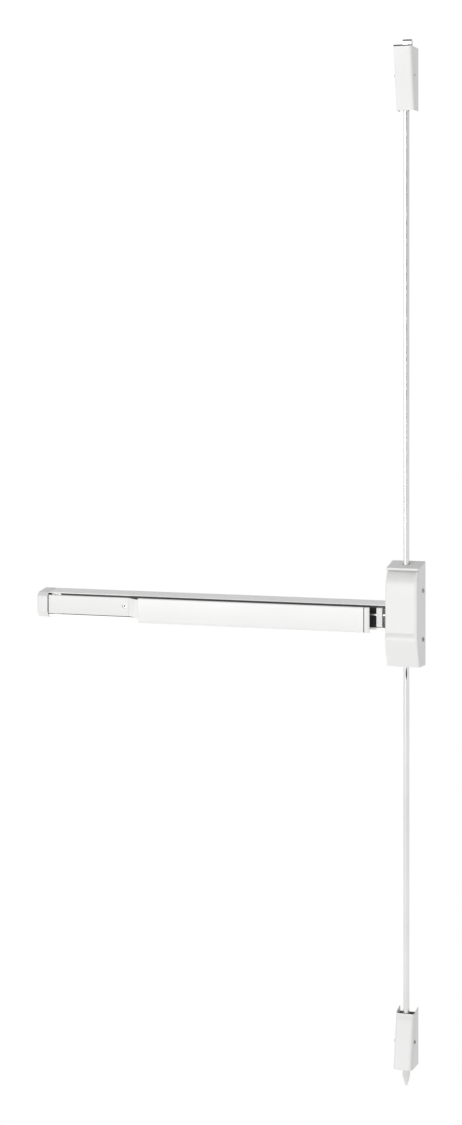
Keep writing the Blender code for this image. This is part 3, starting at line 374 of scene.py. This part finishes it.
def block(name, x, y, z, material=None):
    """A box between two limits on each axis."""
    work = bmesh.new()
    bmesh.ops.create_cube(work, size=1.0)
    centre = Vector((sum(x), sum(y), sum(z))) / 2
    size = Vector((x[1] - x[0], y[1] - y[0], z[1] - z[0]))
    for vertex in work.verts:
        vertex.co = Vector(a * b for a, b in zip(vertex.co, size)) + centre
    return new_piece(name, work, material)


def drum(name, start, end, radius, sides=48, phase=0.0):
    """A round (or six-sided) bar between two points."""
    start = Vector(start)
    end = Vector(end)
    turn = (end - start).to_track_quat("Z", "Y").to_matrix().to_4x4()
    work = bmesh.new()
    matrix = Matrix.Translation((start + end) / 2) @ turn @ Matrix.Rotation(phase, 4, "Z")
    bmesh.ops.create_cone(work, cap_ends=True, segments=sides, radius1=radius, radius2=radius,
                          depth=(end - start).length, matrix=matrix)
    return new_piece(name, work)


def turned(name, profile, start, direction, material=None, sides=48):
    """A closed solid of revolution from (radius, height) points, top first, ends on the axis."""
    turn = Vector(direction).to_track_quat("Z", "Y").to_matrix().to_4x4()
    place = Matrix.Translation(start) @ turn
    work = bmesh.new()
    rings = []
    for radius, height in profile:
        if radius == 0.0:
            rings.append([work.verts.new(place @ Vector((0.0, 0.0, height)))])
        else:
            rings.append([work.verts.new(place @ Vector((radius * cos(2 * pi * i / sides),
                                                         radius * sin(2 * pi * i / sides), height)))
                          for i in range(sides)])
    for upper, lower in zip(rings, rings[1:]):
        for i in range(sides):
            j = (i + 1) % sides
            if len(upper) == 1:
                work.faces.new((upper[0], lower[i], lower[j]))
            elif len(lower) == 1:
                work.faces.new((upper[i], lower[0], upper[j]))
            else:
                work.faces.new((upper[i], lower[i], lower[j], upper[j]))
    bmesh.ops.recalc_face_normals(work, faces=work.faces)
    return new_piece(name, work, material)


def rounded(corners):
    """A closed outline of (a, b, radius) corners, each turned into an arc."""
    outline = []
    count = len(corners)
    for i, (a, b, radius) in enumerate(corners):
        here = Vector((a, b))
        before = (Vector(corners[i - 1][:2]) - here)
        after = (Vector(corners[(i + 1) % count][:2]) - here)
        if radius <= 0.0:
            outline.append((a, b))
            continue
        u = before.normalized()
        v = after.normalized()
        half = u.angle(v) / 2
        reach = min(radius / tan(half), before.length * 0.499, after.length * 0.499)
        size = reach * tan(half)
        centre = here + (u + v).normalized() * (size / sin(half))
        first = here + u * reach - centre
        last = here + v * reach - centre
        sweep = first.angle_signed(last)
        for k in range(CORNER_STEPS + 1):
            t = -sweep * k / CORNER_STEPS
            outline.append((centre.x + first.x * cos(t) - first.y * sin(t),
                            centre.y + first.x * sin(t) + first.y * cos(t)))
    return outline


def extruded(name, outline, x0, x1, material=None):
    """A (Y, Z) outline run along X between x0 and x1."""
    work = bmesh.new()
    ends = [[work.verts.new((x, y, z)) for y, z in outline] for x in (x0, x1)]
    count = len(outline)
    for i in range(count):
        j = (i + 1) % count
        work.faces.new((ends[0][i], ends[0][j], ends[1][j], ends[1][i]))
    for end in ends:
        work.faces.new(end)
    bmesh.ops.recalc_face_normals(work, faces=work.faces)
    return new_piece(name, work, material)


def thicken(piece, wall):
    """Give an open surface a wall on its inner side."""
    modifier = piece.modifiers.new("wall", "SOLIDIFY")
    modifier.thickness = wall
    modifier.offset = -1.0
    modifier.use_even_offset = True
    settle(piece)


def tube(name, rows, material):
    """A closed body through rings of six points."""
    work = bmesh.new()
    rings = [[work.verts.new(point) for point in row] for row in rows]
    for a, b in zip(rings, rings[1:]):
        for i in range(6):
            j = (i + 1) % 6
            work.faces.new((a[i], a[j], b[j], b[i]))
    work.faces.new(rings[0])
    work.faces.new(rings[-1])
    bmesh.ops.recalc_face_normals(work, faces=work.faces)
    return new_piece(name, work, material)


def capped_shell(name, rows, rounding, wall, material):
    """A thin cover through rows of points from its cap down, with the cap's edges rounded."""
    work = bmesh.new()
    made = [[work.verts.new(point) for point in row] for row in rows]
    weight = work.edges.layers.float.new("bevel_weight_edge")
    for upper, lower in zip(made, made[1:]):
        for i in range(len(upper) - 1):
            work.faces.new((upper[i], lower[i], lower[i + 1], upper[i + 1]))
    cap = work.faces.new(made[0])
    for edge in cap.edges:
        if abs(edge.verts[0].co.y) > 1e-6 or abs(edge.verts[1].co.y) > 1e-6:
            edge[weight] = 1.0
    point_outward(work)
    cover = new_piece(name, work, material)
    round_cap(cover, rounding)
    thicken(cover, wall)
    return cover


def point_outward(work):
    """Wind an open shell's faces away from its middle."""
    bmesh.ops.recalc_face_normals(work, faces=work.faces)
    middle = sum((v.co for v in work.verts), Vector()) / len(work.verts)
    facing = sum((f.calc_center_median() - middle).dot(f.normal) * f.calc_area() for f in work.faces)
    if facing < 0:
        bmesh.ops.reverse_faces(work, faces=work.faces)


def round_cap(piece, width):
    """Round the weighted edges of a cap before its wall is made."""
    modifier = piece.modifiers.new("round", "BEVEL")
    modifier.width = width
    modifier.segments = 4
    modifier.limit_method = "WEIGHT"
    settle(piece)


def smooth_step(value, start, end):
    """0 before start, 1 after end, and a smooth rise between them."""
    t = min(1.0, max(0.0, (value - start) / (end - start)))
    return t * t * (3 - 2 * t)


# ---------------------------------------------------------------- centre case

OVER = 0.01                  # cutters reach this far past a piece
ROD_CLEARANCE = 0.0015       # around the rod in the case's top
LIP_DEPTH = 0.0480
CHIN_DEPTH = 0.0440
CASE_RIM = 0.0046
CASE_RADIUS = 0.0042
CASE_EDGE = 0.0012           # round along the top face
CASE_WALL = 0.0014
CASE_SCREW_HOLE = 0.0023
TOP_DROP = 0.0110            # the top face falls this much from back to front
COVE = 0.0045                # height of the round under the lip
HOLLOW = 0.0055              # depth of the scoop lower down
LIP_HOLLOW = 0.0125          # and this much more under the lip
DEEP_END = 0.060             # the extra depth runs out this far under the lip
FILLET = 0.0038              # between the rim and the hollow

# Shares of the case's height, 0 at the bottom and 1 at the top
LIP_SHARE = 0.965            # the lip stands straight above this
SCOOP_TOP = 0.952
DROP_START = 0.90
SHOULDER = 0.8               # the front is deepest from here
CHIN_START = 0.35            # down to here
SCOOP_STEP = 0.325
SCOOP_END = 0.245
STEP_SPAN = 0.005            # closer rows on both sides of the step
LEAST_ROW = 0.0004


def case_front(share):
    """Depth of the front rim at a share of the case's height."""
    deep = -CASE[0].y
    if share > SHOULDER:
        fall = max(0.0, LIP_SHARE - share) / (LIP_SHARE - SHOULDER)
        return LIP_DEPTH + (deep - LIP_DEPTH) * sin(pi / 2 * fall)
    if share > CHIN_START:
        return deep
    return CHIN_DEPTH + (deep - CHIN_DEPTH) * sin(pi / 2 * share / CHIN_START)


def case_scoop(x, share):
    """How far the front lies behind its rim: a cove under the lip, a hollow, and a step to the chin."""
    tall = CASE[1].z - CASE[0].z
    side = smooth_step(CASE[1].x - CASE_RIM - x, 0.0, FILLET)
    below = (SCOOP_TOP - share) * tall
    if below <= 0.0:
        return 0.0
    cove = sin(pi / 2 * min(1.0, below / COVE)) ** 0.6
    hollow = HOLLOW + LIP_HOLLOW * max(0.0, 1.0 - below / DEEP_END) ** 2.5
    if share < SCOOP_STEP:
        hollow = HOLLOW * max(0.0, (share - SCOOP_END) / (SCOOP_STEP - SCOOP_END)) ** 2
    return hollow * cove * side


def case_row(share):
    """The case's outline at one height, with round corners, a rim at the right and a scooped front."""
    low, high = CASE
    height = low.z + (high.z - low.z) * share
    half = (high.x - low.x) / 2
    front = case_front(share)
    r = CASE_RADIUS
    side = [(half, -(front - r) * k / 8) for k in range(9)]
    side += [(half - r + r * cos(radians(a)), -(front - r) - r * sin(radians(a))) for a in range(15, 91, 15)]
    across = [half - CASE_RIM - FILLET * k / 8 for k in range(9)]
    middle = across[-1]
    across += [middle * (1 - k / 10) for k in range(1, 11)]
    right = side + [(x, -(front - case_scoop(x, share))) for x in across]
    open_side = case_scoop(0.0, share)
    left = [(-x, y * (1 - open_side / front)) for x, y in side]
    left += [(-x, -(front - case_scoop(-x, share))) for x in across[:-1]]
    drop = TOP_DROP * smooth_step(share, DROP_START, 1.0)
    return [(x, y, height + drop * y / LIP_DEPTH) for x, y in left + right[::-1]]


def case_shares():
    """Heights of the rows: even ones, and closer ones in the cove and at the step."""
    tall = CASE[1].z - CASE[0].z
    shares = {i / 60 for i in range(61)}
    shares |= {SCOOP_TOP - 3 * COVE / tall * (k / 20) ** 2 for k in range(21)}
    shares |= {SCOOP_STEP + STEP_SPAN * (k / 4 - 1) for k in range(9)}
    ordered = sorted((s for s in shares if 0.0 <= s <= 1.0), reverse=True)
    kept = [ordered[0]]
    for share in ordered[1:]:
        if kept[-1] - share > LEAST_ROW or share == 0.0:
            kept.append(share)
    return kept


def make_case(materials):
    """The case's cover with the rod's hole, the drive bar's window and the screws' holes."""
    rows = [case_row(share) for share in case_shares()]
    cover = capped_shell("case_shell", rows, CASE_EDGE, CASE_WALL, materials["paint"])
    cut(cover, drum("hole", (0, -ROD_DEPTH, CASE[1].z - 2 * OVER), (0, -ROD_DEPTH, CASE[1].z + OVER),
                    ROD_RADIUS + ROD_CLEARANCE))
    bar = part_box("drive_bar")[0].y
    bar_width = 0.010
    margin = 0.0015
    cut(cover, block("window", (CASE[0].x - 0.001, CASE[0].x + CASE_WALL + 0.001),
                     (bar - margin, bar + bar_width + margin), (-0.0040, 0.0040)))
    for node in ("case_cover_screw_upper_right", "case_cover_screw_lower_right"):
        screw_hole(cover, node, CASE_SCREW_HOLE)
    stand_for(cover, "case_cover")


# ---------------------------------------------------------------- screws, nuts and rods

SCREW_TURNS = {
    "case_cover_screw_upper_right": 18, "case_cover_screw_lower_right": 52,
    "case_cover_screw_upper_left": 71, "case_cover_screw_lower_left": 33,
    "top_cover_screw_right": 40, "top_cover_screw_left": 12,
    "bottom_cover_screw_right": 66, "bottom_cover_screw_left": 25,
}
END_SCREW_TURN = 30
NUT_SHARP = radians(20)
NUT_BORE = 0.0035
THREAD_PITCH = 0.00125
THREAD_ROOT = 0.84           # of the stud's radius
ROD_CHAMFER = 0.0009
SHADOW_TURN = radians(15)      # the case's painted shadow on the lower rod looks to the right
SHADOW_TOP = -0.1060
SHADOW_LENGTH = 0.0260
SHADOW_HALF = 0.0014
SHADOW_TIP = 0.00015
SHADOW_SUNK = 0.0004
SHADOW_PROUD = 0.0001
SHADOW_ROWS = 10


def screw_hole(piece, node, radius):
    """A hole right across a cover for the screws on its two sides."""
    low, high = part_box(node)
    middle = (low + high) / 2
    reach = max(abs(low.x), abs(high.x)) + OVER
    cut(piece, drum("hole", (-reach, middle.y, middle.z), (reach, middle.y, middle.z), radius, sides=24))


def make_screw(name, node, direction, materials, turn):
    """A pan head screw with a cross recess, in place of the node."""
    low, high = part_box(node)
    direction = Vector(direction)
    along = [i for i in range(3) if abs(direction[i]) > 0.5][0]
    across = [i for i in range(3) if i != along][0]
    radius = (high[across] - low[across]) / 2
    crown = radius * 0.45
    seat = (low + high) / 2
    seat[along] = (high[along] - crown) if direction[along] > 0 else (low[along] + crown)
    length = (high[along] - low[along]) - crown
    shank = radius * 0.43
    profile = [(0.0, crown), (radius * 0.35, crown), (radius * 0.62, crown * 0.93),
               (radius * 0.84, crown * 0.70), (radius * 0.96, crown * 0.38), (radius, crown * 0.12),
               (radius * 0.985, 0.0), (shank, 0.0), (shank, -length * 0.9), (shank * 0.6, -length),
               (0.0, -length)]
    piece = turned(name, profile, seat, direction, materials["screw"])
    place = Matrix.Translation(seat) @ direction.to_track_quat("Z", "Y").to_matrix().to_4x4()
    for angle in (turn, turn + 90):
        arm = block("arm", (-radius * 0.62, radius * 0.62), (-radius * 0.13, radius * 0.13),
                    (crown * 0.35, crown * 1.6))
        arm.data.transform(place @ Matrix.Rotation(radians(angle), 4, "Z"))
        cut(piece, arm)
    stand_for(piece, node)


def make_screws(materials):
    """Every screw that can be seen, each turned its own way."""
    for node, turn in SCREW_TURNS.items():
        direction = (1, 0, 0) if node.endswith("right") else (-1, 0, 0)
        make_screw(node + "_head", node, direction, materials, turn)
    make_screw("rail_end_screw_head", "rail_end_screw", (0, 0, -1), materials, END_SCREW_TURN)


def make_nut(name, node, materials):
    """A hexagon nut with chamfered corners."""
    low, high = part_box(node)
    centre = (low + high) / 2
    corner = max(high.x - low.x, high.y - low.y) / 2
    body = drum(name, (centre.x, centre.y, low.z), (centre.x, centre.y, high.z), corner, sides=6,
                phase=0.0 if high.x - low.x > high.y - low.y else radians(30))
    height = high.z - low.z
    chamfer = corner * 0.07
    cone = turned("cone", [(0.0, height), (corner * 0.90, height), (corner * 1.02, height - chamfer),
                           (corner * 1.02, chamfer), (corner * 0.90, 0.0), (0.0, 0.0)],
                  (centre.x, centre.y, low.z), (0, 0, 1))
    boolean = body.modifiers.new("round", "BOOLEAN")
    boolean.operation = "INTERSECT"
    boolean.solver = "EXACT"
    boolean.object = cone
    settle(body, NUT_SHARP)
    bpy.data.objects.remove(cone, do_unlink=True)
    cut(body, drum("bore", (centre.x, centre.y, low.z - OVER), (centre.x, centre.y, high.z + OVER), NUT_BORE))
    body.data.materials.clear()
    body.data.materials.append(materials["zinc"])
    stand_for(body, node)


def make_stud(name, node, materials):
    """A threaded stud: rings of thread along its whole length."""
    low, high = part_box(node)
    centre = (low + high) / 2
    radius = (high.x - low.x) / 2
    root = radius * THREAD_ROOT
    height = high.z - low.z
    count = int(height / THREAD_PITCH)
    step = height / count
    profile = [(0.0, height), (root, height)]
    for i in range(count):
        top = height - i * step
        profile += [(radius, top - step * 0.45), (radius, top - step * 0.55), (root, top - step)]
    profile += [(0.0, 0.0)]
    stud = turned(name, profile, (centre.x, centre.y, low.z), (0, 0, 1), materials["steel"], sides=20)
    stand_for(stud, node)


def make_rod(name, node, materials):
    """A painted rod with chamfered ends."""
    low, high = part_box(node)
    centre = (low + high) / 2
    radius = (high.x - low.x) / 2
    height = high.z - low.z
    edge = ROD_CHAMFER
    profile = [(0.0, height), (radius - edge, height), (radius, height - edge)]
    profile += [(radius, height * k / 12) for k in range(11, 0, -1)]
    profile += [(radius, edge), (radius - edge, 0.0), (0.0, 0.0)]
    rod = turned(name, profile, (centre.x, centre.y, low.z), (0, 0, 1), materials["rod"], sides=64)
    stand_for(rod, node)


def make_rod_painted_shadow(materials):
    """A black lens-shaped mark on the lower rod, just under the case: a painted shadow of the case."""
    rows = []
    for k in range(SHADOW_ROWS + 1):
        t = k / SHADOW_ROWS
        half = SHADOW_HALF * sin(pi * t) + SHADOW_TIP
        z = SHADOW_TOP - SHADOW_LENGTH * t
        turns = [SHADOW_TURN + side * half / ROD_RADIUS for side in (-1.0, 0.0, 1.0)]
        inner, outer = ([(radius * sin(turn), -ROD_DEPTH - radius * cos(turn), z) for turn in turns]
                        for radius in (ROD_RADIUS - SHADOW_SUNK, ROD_RADIUS + SHADOW_PROUD))
        rows.append(inner + outer[::-1])
    ride_black(tube("rod_painted_shadow", rows, materials["black"]), "lower_rod")


# ---------------------------------------------------------------- rail, fillers and end cap

RAIL_SHOULDER = 0.0203       # where the rail's top meets its front
RAIL_WALL = 0.0025
LIP_TOP = 0.0186             # edges of the rail's open front
LIP_BOTTOM = -0.0262
END_SCREW_HOLE = 0.0024
# black strips that paint the shade in the gap under the rail's front edge
SHADE_STRIP_START = 0.0300          # from the rail's end
SHADE_STRIP_SHEET = 0.0008
SHADE_STRIP_HANG = 0.0029           # the black strip of painted shade reaches this much below the pad's top
SHADE_STRIP_LAP = 0.0010            # and this much up behind the rail's edge
RAMP_MARGIN = 0.0010
RAMP_GAP = 0.0004            # between the pad's ramp and the strip of painted shade above it
FILLER_SHEET = 0.0016
DOG_Z = -0.0030
DOG_HOLE = 0.0046
DISH_RADIUS = 0.0062
END_WALL = 0.0020
END_JOINT = 0.0010           # the black joint between the end cap and the rail
END_STEP = 0.0080            # depth of the chamfers
END_EDGE = 0.0022
END_FACE = (-0.0208, 0.0118)
END_TUCK = 0.0005            # the cap's shoulder lies this much under the rail's
END_ROUND = ((0.0016, 0.0), (0.0008, 0.0002), (0.0002, 0.0008), (0.0, 0.0016))


def make_rail(materials):
    """The rail's channel, with the end screw's hole and black strips of painted shade behind the front edge
    of its top.
    """
    front = -RAIL[0].y
    top = RAIL[1].z
    bottom = RAIL[0].z
    slope = (top - RAIL_SHOULDER) / front
    wall = RAIL_WALL
    inside = -front + wall
    outline = rounded([
        (0.0, bottom, 0.0), (0.0, top, 0.0008), (-front, RAIL_SHOULDER, 0.0009),
        (-front, LIP_TOP, 0.0005), (inside, LIP_TOP, 0.0005),
        (inside, RAIL_SHOULDER - wall + slope * wall, 0.0006), (-wall, top - wall - slope * wall, 0.0006),
        (-wall, bottom + wall, 0.0006), (inside, bottom + wall, 0.0006),
        (inside, LIP_BOTTOM, 0.0005), (-front, LIP_BOTTOM, 0.0005), (-front, bottom, 0.0022)])
    rail = extruded("rail_extrusion", outline, RAIL[0].x, RAIL[1].x, materials["rail"])
    low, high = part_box("rail_end_screw")
    x, y = (low.x + high.x) / 2, (low.y + high.y) / 2
    cut(rail, drum("hole", (x, y, bottom - 0.004), (x, y, bottom + 0.006), END_SCREW_HOLE, sides=24))
    make_gap_shade_strips(inside, materials)
    stand_for(rail, "base_rail")


def make_gap_shade_strips(inside, materials):
    """Black strips of painted shade in the gap under the rail's front edge, the middle one above the pad's
    ramp.
    """
    start, end = PAD_CAP_LEFT[0].x - RAMP_MARGIN, PAD_CAP_LEFT[1].x + RAMP_MARGIN
    low = PAD[1].z - SHADE_STRIP_HANG
    for name, x0, x1, z0 in (("rail_gap_shade_left", RAIL[0].x + SHADE_STRIP_START, start, low),
                             ("rail_gap_shade_ramp", start, end, PAD_CAP_LEFT[1].z + RAMP_GAP),
                             ("rail_gap_shade_pad", end, RAIL[1].x, low)):
        shade_strip = block(name, (x0, x1), (inside + 0.0001, inside + 0.0001 + SHADE_STRIP_SHEET),
                     (z0, LIP_TOP + SHADE_STRIP_LAP), materials["black"])
        ride_black(shade_strip, "frame")


def filler_outline(low, high):
    """The section of a filler plate: a shallow channel, open towards the door."""
    sheet = FILLER_SHEET
    return rounded([
        (high.y, high.z, 0.0), (low.y, high.z, 0.0016), (low.y, low.z, 0.0016), (high.y, low.z, 0.0),
        (high.y, low.z + sheet, 0.0), (low.y + sheet, low.z + sheet, 0.0006),
        (low.y + sheet, high.z - sheet, 0.0006), (high.y, high.z - sheet, 0.0)])


def make_fillers(materials):
    """The long filler plate with its dished dogging hole, and the short one beside the case."""
    low, high = FILLER
    filler = extruded("rail_filler", filler_outline(low, high), low.x, high.x, materials["paint"])
    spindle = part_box("dogging_spindle")
    x = ((spindle[0] + spindle[1]) / 2).x
    cut(filler, drum("hole", (x, low.y - 0.004, DOG_Z), (x, low.y + 0.004, DOG_Z), DOG_HOLE))
    cut(filler, turned("dish", [(0.0, 0.0012), (DISH_RADIUS, 0.0012), (DOG_HOLE, -0.0006), (0.0, -0.0006)],
                       (x, low.y, DOG_Z), (0, -1, 0)))
    stand_for(filler, "filler_plate")
    low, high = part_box("short_filler_plate")
    short = extruded("short_filler", filler_outline(low, high), low.x, high.x, materials["paint"])
    stand_for(short, "short_filler_plate")


def end_cap_outline(inset, low, high, back):
    """The cap's chamfered outline, drawn in by inset."""
    front = low.y + inset
    top = high.z - inset
    shoulder = RAIL_SHOULDER - END_TUCK - inset
    turn = front + END_STEP - inset * 0.4
    return rounded([(back, low.z + inset, 0.0), (back, top, 0.0), (turn, shoulder, END_EDGE),
                    (front, END_FACE[1] - inset * 0.6, END_EDGE),
                    (front, END_FACE[0] + inset * 0.6, END_EDGE), (turn, low.z + inset, END_EDGE)])


def make_end_cap(materials):
    """The cap, with a rounded outer end, and the black gasket in its joint with the rail."""
    low, high = END_CAP
    joint = high.x - END_JOINT
    work = bmesh.new()
    rings = []
    for x, inset in ((joint, 0.0), *((low.x + step, inset) for step, inset in END_ROUND)):
        rings.append([work.verts.new((x, y, z)) for y, z in end_cap_outline(inset, low, high, 0.0)])
    inner = end_cap_outline(END_WALL, low, high, 0.0)
    for x in (low.x + END_WALL, joint):
        rings.append([work.verts.new((x, y, z)) for y, z in inner])
    count = len(inner)
    for a, b in ((0, 1), (1, 2), (2, 3), (3, 4), (5, 6), (6, 0)):
        for i in range(count):
            j = (i + 1) % count
            work.faces.new((rings[a][i], rings[a][j], rings[b][j], rings[b][i]))
    work.faces.new(rings[4])
    work.faces.new(rings[5])
    bmesh.ops.recalc_face_normals(work, faces=work.faces)
    stand_for(new_piece("end_cap", work, materials["paint"]), "rail_end_cap")

    outer = end_cap_outline(0.0006, low, high, -0.0010)
    hollow = end_cap_outline(0.0022, low, high, -0.0030)
    gasket = extruded("end_gasket", outer, joint + 0.0001, RAIL[0].x - 0.0001, materials["black"])
    cut(gasket, extruded("hollow", hollow, joint - 0.002, RAIL[0].x + 0.002))
    ride_black(gasket, nodes["rail_end_cap"]["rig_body"])


# ---------------------------------------------------------------- push pad

PAD_SEAM = 0.0014            # black spacer between the pad and its right cap
PAD_SHEET = 0.0020
PAD_TURN_IN = 0.0016         # thickness of the edges that turn back
PAD_RETURN = 0.0050
PAD_LOWER_RETURN = 0.0098
PAD_TOP_ROUND = 0.0022
PAD_BOTTOM_ROUND = 0.0078
LEG_DROP = 0.0055            # from the rail's edges to the pad's legs
LEG_RISE = 0.0020
FINE = 0.0005                # broken edges
RAMP_ROWS = 14
RAMP_SHEET = 0.0020
RAMP_LEVEL = 0.92            # share of the ramp's length where it reaches the pad's face


def make_pad(materials):
    """The pad's section, its legs into the rail, and the black spacer before its right cap."""
    low, high = PAD
    face = low.y
    edge = face + PAD_RETURN
    low_edge = face + PAD_LOWER_RETURN
    back = high.y
    leg_top = LIP_TOP - LEG_DROP
    leg_bottom = LIP_BOTTOM + LEG_RISE
    inner = face + PAD_SHEET
    outline = rounded([
        (edge, high.z, FINE), (face, high.z, PAD_TOP_ROUND), (face, low.z, PAD_BOTTOM_ROUND),
        (low_edge, low.z, FINE), (low_edge, low.z + PAD_TURN_IN, FINE), (inner, low.z + PAD_TURN_IN, 0.0060),
        (inner, leg_bottom, FINE), (back, leg_bottom, FINE), (back, leg_bottom + PAD_SHEET, FINE),
        (inner, leg_bottom + PAD_SHEET, FINE), (inner, leg_top - PAD_SHEET, FINE),
        (back, leg_top - PAD_SHEET, FINE), (back, leg_top, FINE), (inner, leg_top, FINE),
        (inner, high.z - PAD_TURN_IN, 0.0008), (edge, high.z - PAD_TURN_IN, FINE)])
    pad = extruded("pad_face", outline, low.x, high.x - PAD_SEAM, materials["pad"])
    stand_for(pad, "push_pad")
    spacer = block("pad_spacer", (high.x - PAD_SEAM + 0.0001, high.x + 0.0001),
                   (face + 0.0008, face + 0.0035), (low.z + 0.0012, high.z - 0.0004), materials["black"])
    ride_black(spacer, "pad")


def make_pad_caps(materials):
    """The ramp at the pad's left end and the flat cap at its right end."""
    low, high = PAD_CAP_LEFT
    front = high.y - RAMP_SHEET
    top = high.z
    bottom = low.z
    rows = []
    for k in range(RAMP_ROWS + 1):
        t = k / RAMP_ROWS
        x = low.x + (high.x - low.x) * t
        y = front + (low.y - front) * smooth_step(t, 0.0, RAMP_LEVEL)
        rows.append([(x, y + RAMP_SHEET, bottom), (x, y + 0.0007, bottom), (x, y, bottom + 0.0009),
                     (x, y, top - 0.0009), (x, y + 0.0007, top), (x, y + RAMP_SHEET, top)])
    stand_for(tube("pad_ramp", rows, materials["pad"]), "pad_end_cap_left")

    low, high = PAD_CAP_RIGHT
    outline = rounded([(high.y, low.z, 0.0004), (high.y, high.z, 0.0004), (low.y, high.z, 0.0022),
                       (low.y, low.z, 0.0024)])
    cap = extruded("pad_stop", outline, low.x, high.x, materials["paint"])
    bevel(cap, FINE, 50)
    settle(cap)
    stand_for(cap, "pad_end_cap_right")


# ---------------------------------------------------------------- latches

LATCH_RADIUS = 0.0060
LATCH_WALL = 0.0018
LATCH_EDGE = 0.0016
LATCH_ROWS = 24
LATCH_SCREW_HOLE = 0.0020
SHALLOW = 0.0290             # depth of a cover at its thin end
DROP_SHARE = 0.8             # the bottom cover's top edge falls over the rest
BOTTOM_DROP = 0.0075
BOLT_OPENING = ((-0.0100, 0.0100), (-0.0438, -0.0030))
BOTTOM_HOLE = 0.0095
BOLT_RADIUS = 0.0080
BOLT_STEM = 0.0032
COLLAR = 0.0030              # height of the floor bolt's collar, and how far it stands out
COLLAR_DOWN = 0.0267         # from the bolt's top
BOLT_NOSE = 0.026
WORKS = ("drive_bar", "drive_bar_guide", "rail_end_bracket", "top_latch_bolt", "top_rod_fork",
         "rail_crank_left", "rail_crank_right", "upper_case_crank", "lower_case_crank", "upper_slide",
         "lower_slide", "upper_slide_guide", "lower_slide_guide", "pad_foot_left", "pad_foot_right")


def latch_rows(z_deep, z_shallow, depth, drop_at_shallow):
    """Rows of a wedge-shaped cover, from its closed end to its open one."""
    half = (TOP_COVER[1].x - TOP_COVER[0].x) / 2
    r = LATCH_RADIUS
    rows = []
    for k in range(LATCH_ROWS + 1):
        t = k / LATCH_ROWS
        reach = depth + (SHALLOW - depth) * t
        z = z_deep + (z_shallow - z_deep) * t
        right = [(half, -(reach - r) * i / 6) for i in range(6)]
        right += [(half - r + r * cos(radians(a)), -(reach - r) - r * sin(radians(a)))
                  for a in range(0, 91, 10)]
        right += [((half - r) * (1 - i / 4), -reach) for i in range(1, 5)]
        outline = [(-x, y) for x, y in right[:-1]] + right[::-1]
        drop = drop_at_shallow * smooth_step(t, DROP_SHARE, 1.0)
        rows.append([(x, y, z + drop * y / reach) for x, y in outline])
    return rows


def make_latches(materials):
    """Both covers, with the bolt's opening, the floor bolt's hole and the top cover's black front strip of
    painted shade.
    """
    low, high = TOP_COVER
    cover = capped_shell("top_latch_shell", latch_rows(high.z, low.z, -low.y, 0.0), LATCH_EDGE, LATCH_WALL,
                         materials["paint"])
    stand_for(cover, "top_latch_cover")
    cut(cover, block("opening", *BOLT_OPENING, (high.z - 0.006, high.z + OVER)))
    screw_hole(cover, "top_cover_screw_right", LATCH_SCREW_HOLE)
    # a black strip along the top of the top cover's front: painted shade of the gap at its top edge
    shade_strip = block("top_latch_shade_strip", (low.x + 0.0010, high.x - 0.0010), (low.y + 0.0002, low.y + 0.0032),
                 (high.z + 0.0001, high.z + 0.0024), materials["black"])
    bevel(shade_strip, 0.0006)
    settle(shade_strip)
    ride_black(shade_strip, "frame")

    low, high = BOTTOM_COVER
    cover = capped_shell("bottom_latch_shell", latch_rows(low.z, high.z, -low.y, BOTTOM_DROP), LATCH_EDGE,
                         LATCH_WALL, materials["paint"])
    stand_for(cover, "bottom_latch_cover")
    cut(cover, drum("hole", (0, -ROD_DEPTH, low.z - OVER), (0, -ROD_DEPTH, low.z + OVER), BOTTOM_HOLE))
    screw_hole(cover, "bottom_cover_screw_right", LATCH_SCREW_HOLE)


def make_floor_bolt(materials):
    """The floor bolt: collar and stem in the guide, and a long tapered nose."""
    low, high = FLOOR_BOLT
    tall = high.z - low.z
    collar = tall - COLLAR_DOWN
    wide = BOLT_RADIUS + COLLAR
    profile = [(0.0, tall), (BOLT_STEM, tall), (BOLT_STEM, collar), (wide - 0.0003, collar),
               (wide, collar - 0.0004), (wide, collar - COLLAR + 0.0004), (wide - 0.0003, collar - COLLAR),
               (BOLT_RADIUS, collar - COLLAR), (BOLT_RADIUS, BOLT_NOSE)]
    for k in range(1, 12):
        t = k / 12
        profile.append((BOLT_RADIUS * (1 - 0.80 * t ** 1.35), BOLT_NOSE * (1 - t)))
    profile += [(BOLT_RADIUS * 0.20, BOLT_NOSE * 0.045), (BOLT_RADIUS * 0.12, BOLT_NOSE * 0.01), (0.0, 0.0)]
    bolt = turned("floor_bolt", profile, (0.0, -ROD_DEPTH, low.z), (0, 0, 1), materials["bright"])
    stand_for(bolt, "bottom_bolt")


def soften_works():
    """A fine broken edge on the sheet and bar pieces that are shown as the frame has them."""
    for name in WORKS:
        bevel(nodes[name], 0.00025, 40)


# ---------------------------------------------------------------- the whole

def main():
    """Build every look in one fixed order."""
    materials = make_materials()
    make_camera()
    make_light()
    make_floor()
    paint_cad_nodes(materials)
    make_case(materials)
    make_screws(materials)
    for side in ("upper", "lower"):
        make_nut(side + "_nut", side + "_lock_nut", materials)
    make_nut("bottom_nut", "bottom_lock_nut", materials)
    for side in ("upper", "lower"):
        make_stud(side + "_thread", side + "_rod_stud", materials)
    for side in ("upper", "lower"):
        make_rod(side + "_rod_bar", side + "_rod", materials)
    # the case's painted shadow on the lower rod
    make_rod_painted_shadow(materials)
    make_rail(materials)
    make_fillers(materials)
    make_end_cap(materials)
    make_floor_bolt(materials)
    soften_works()
    make_pad(materials)
    make_pad_caps(materials)
    make_latches(materials)


main()
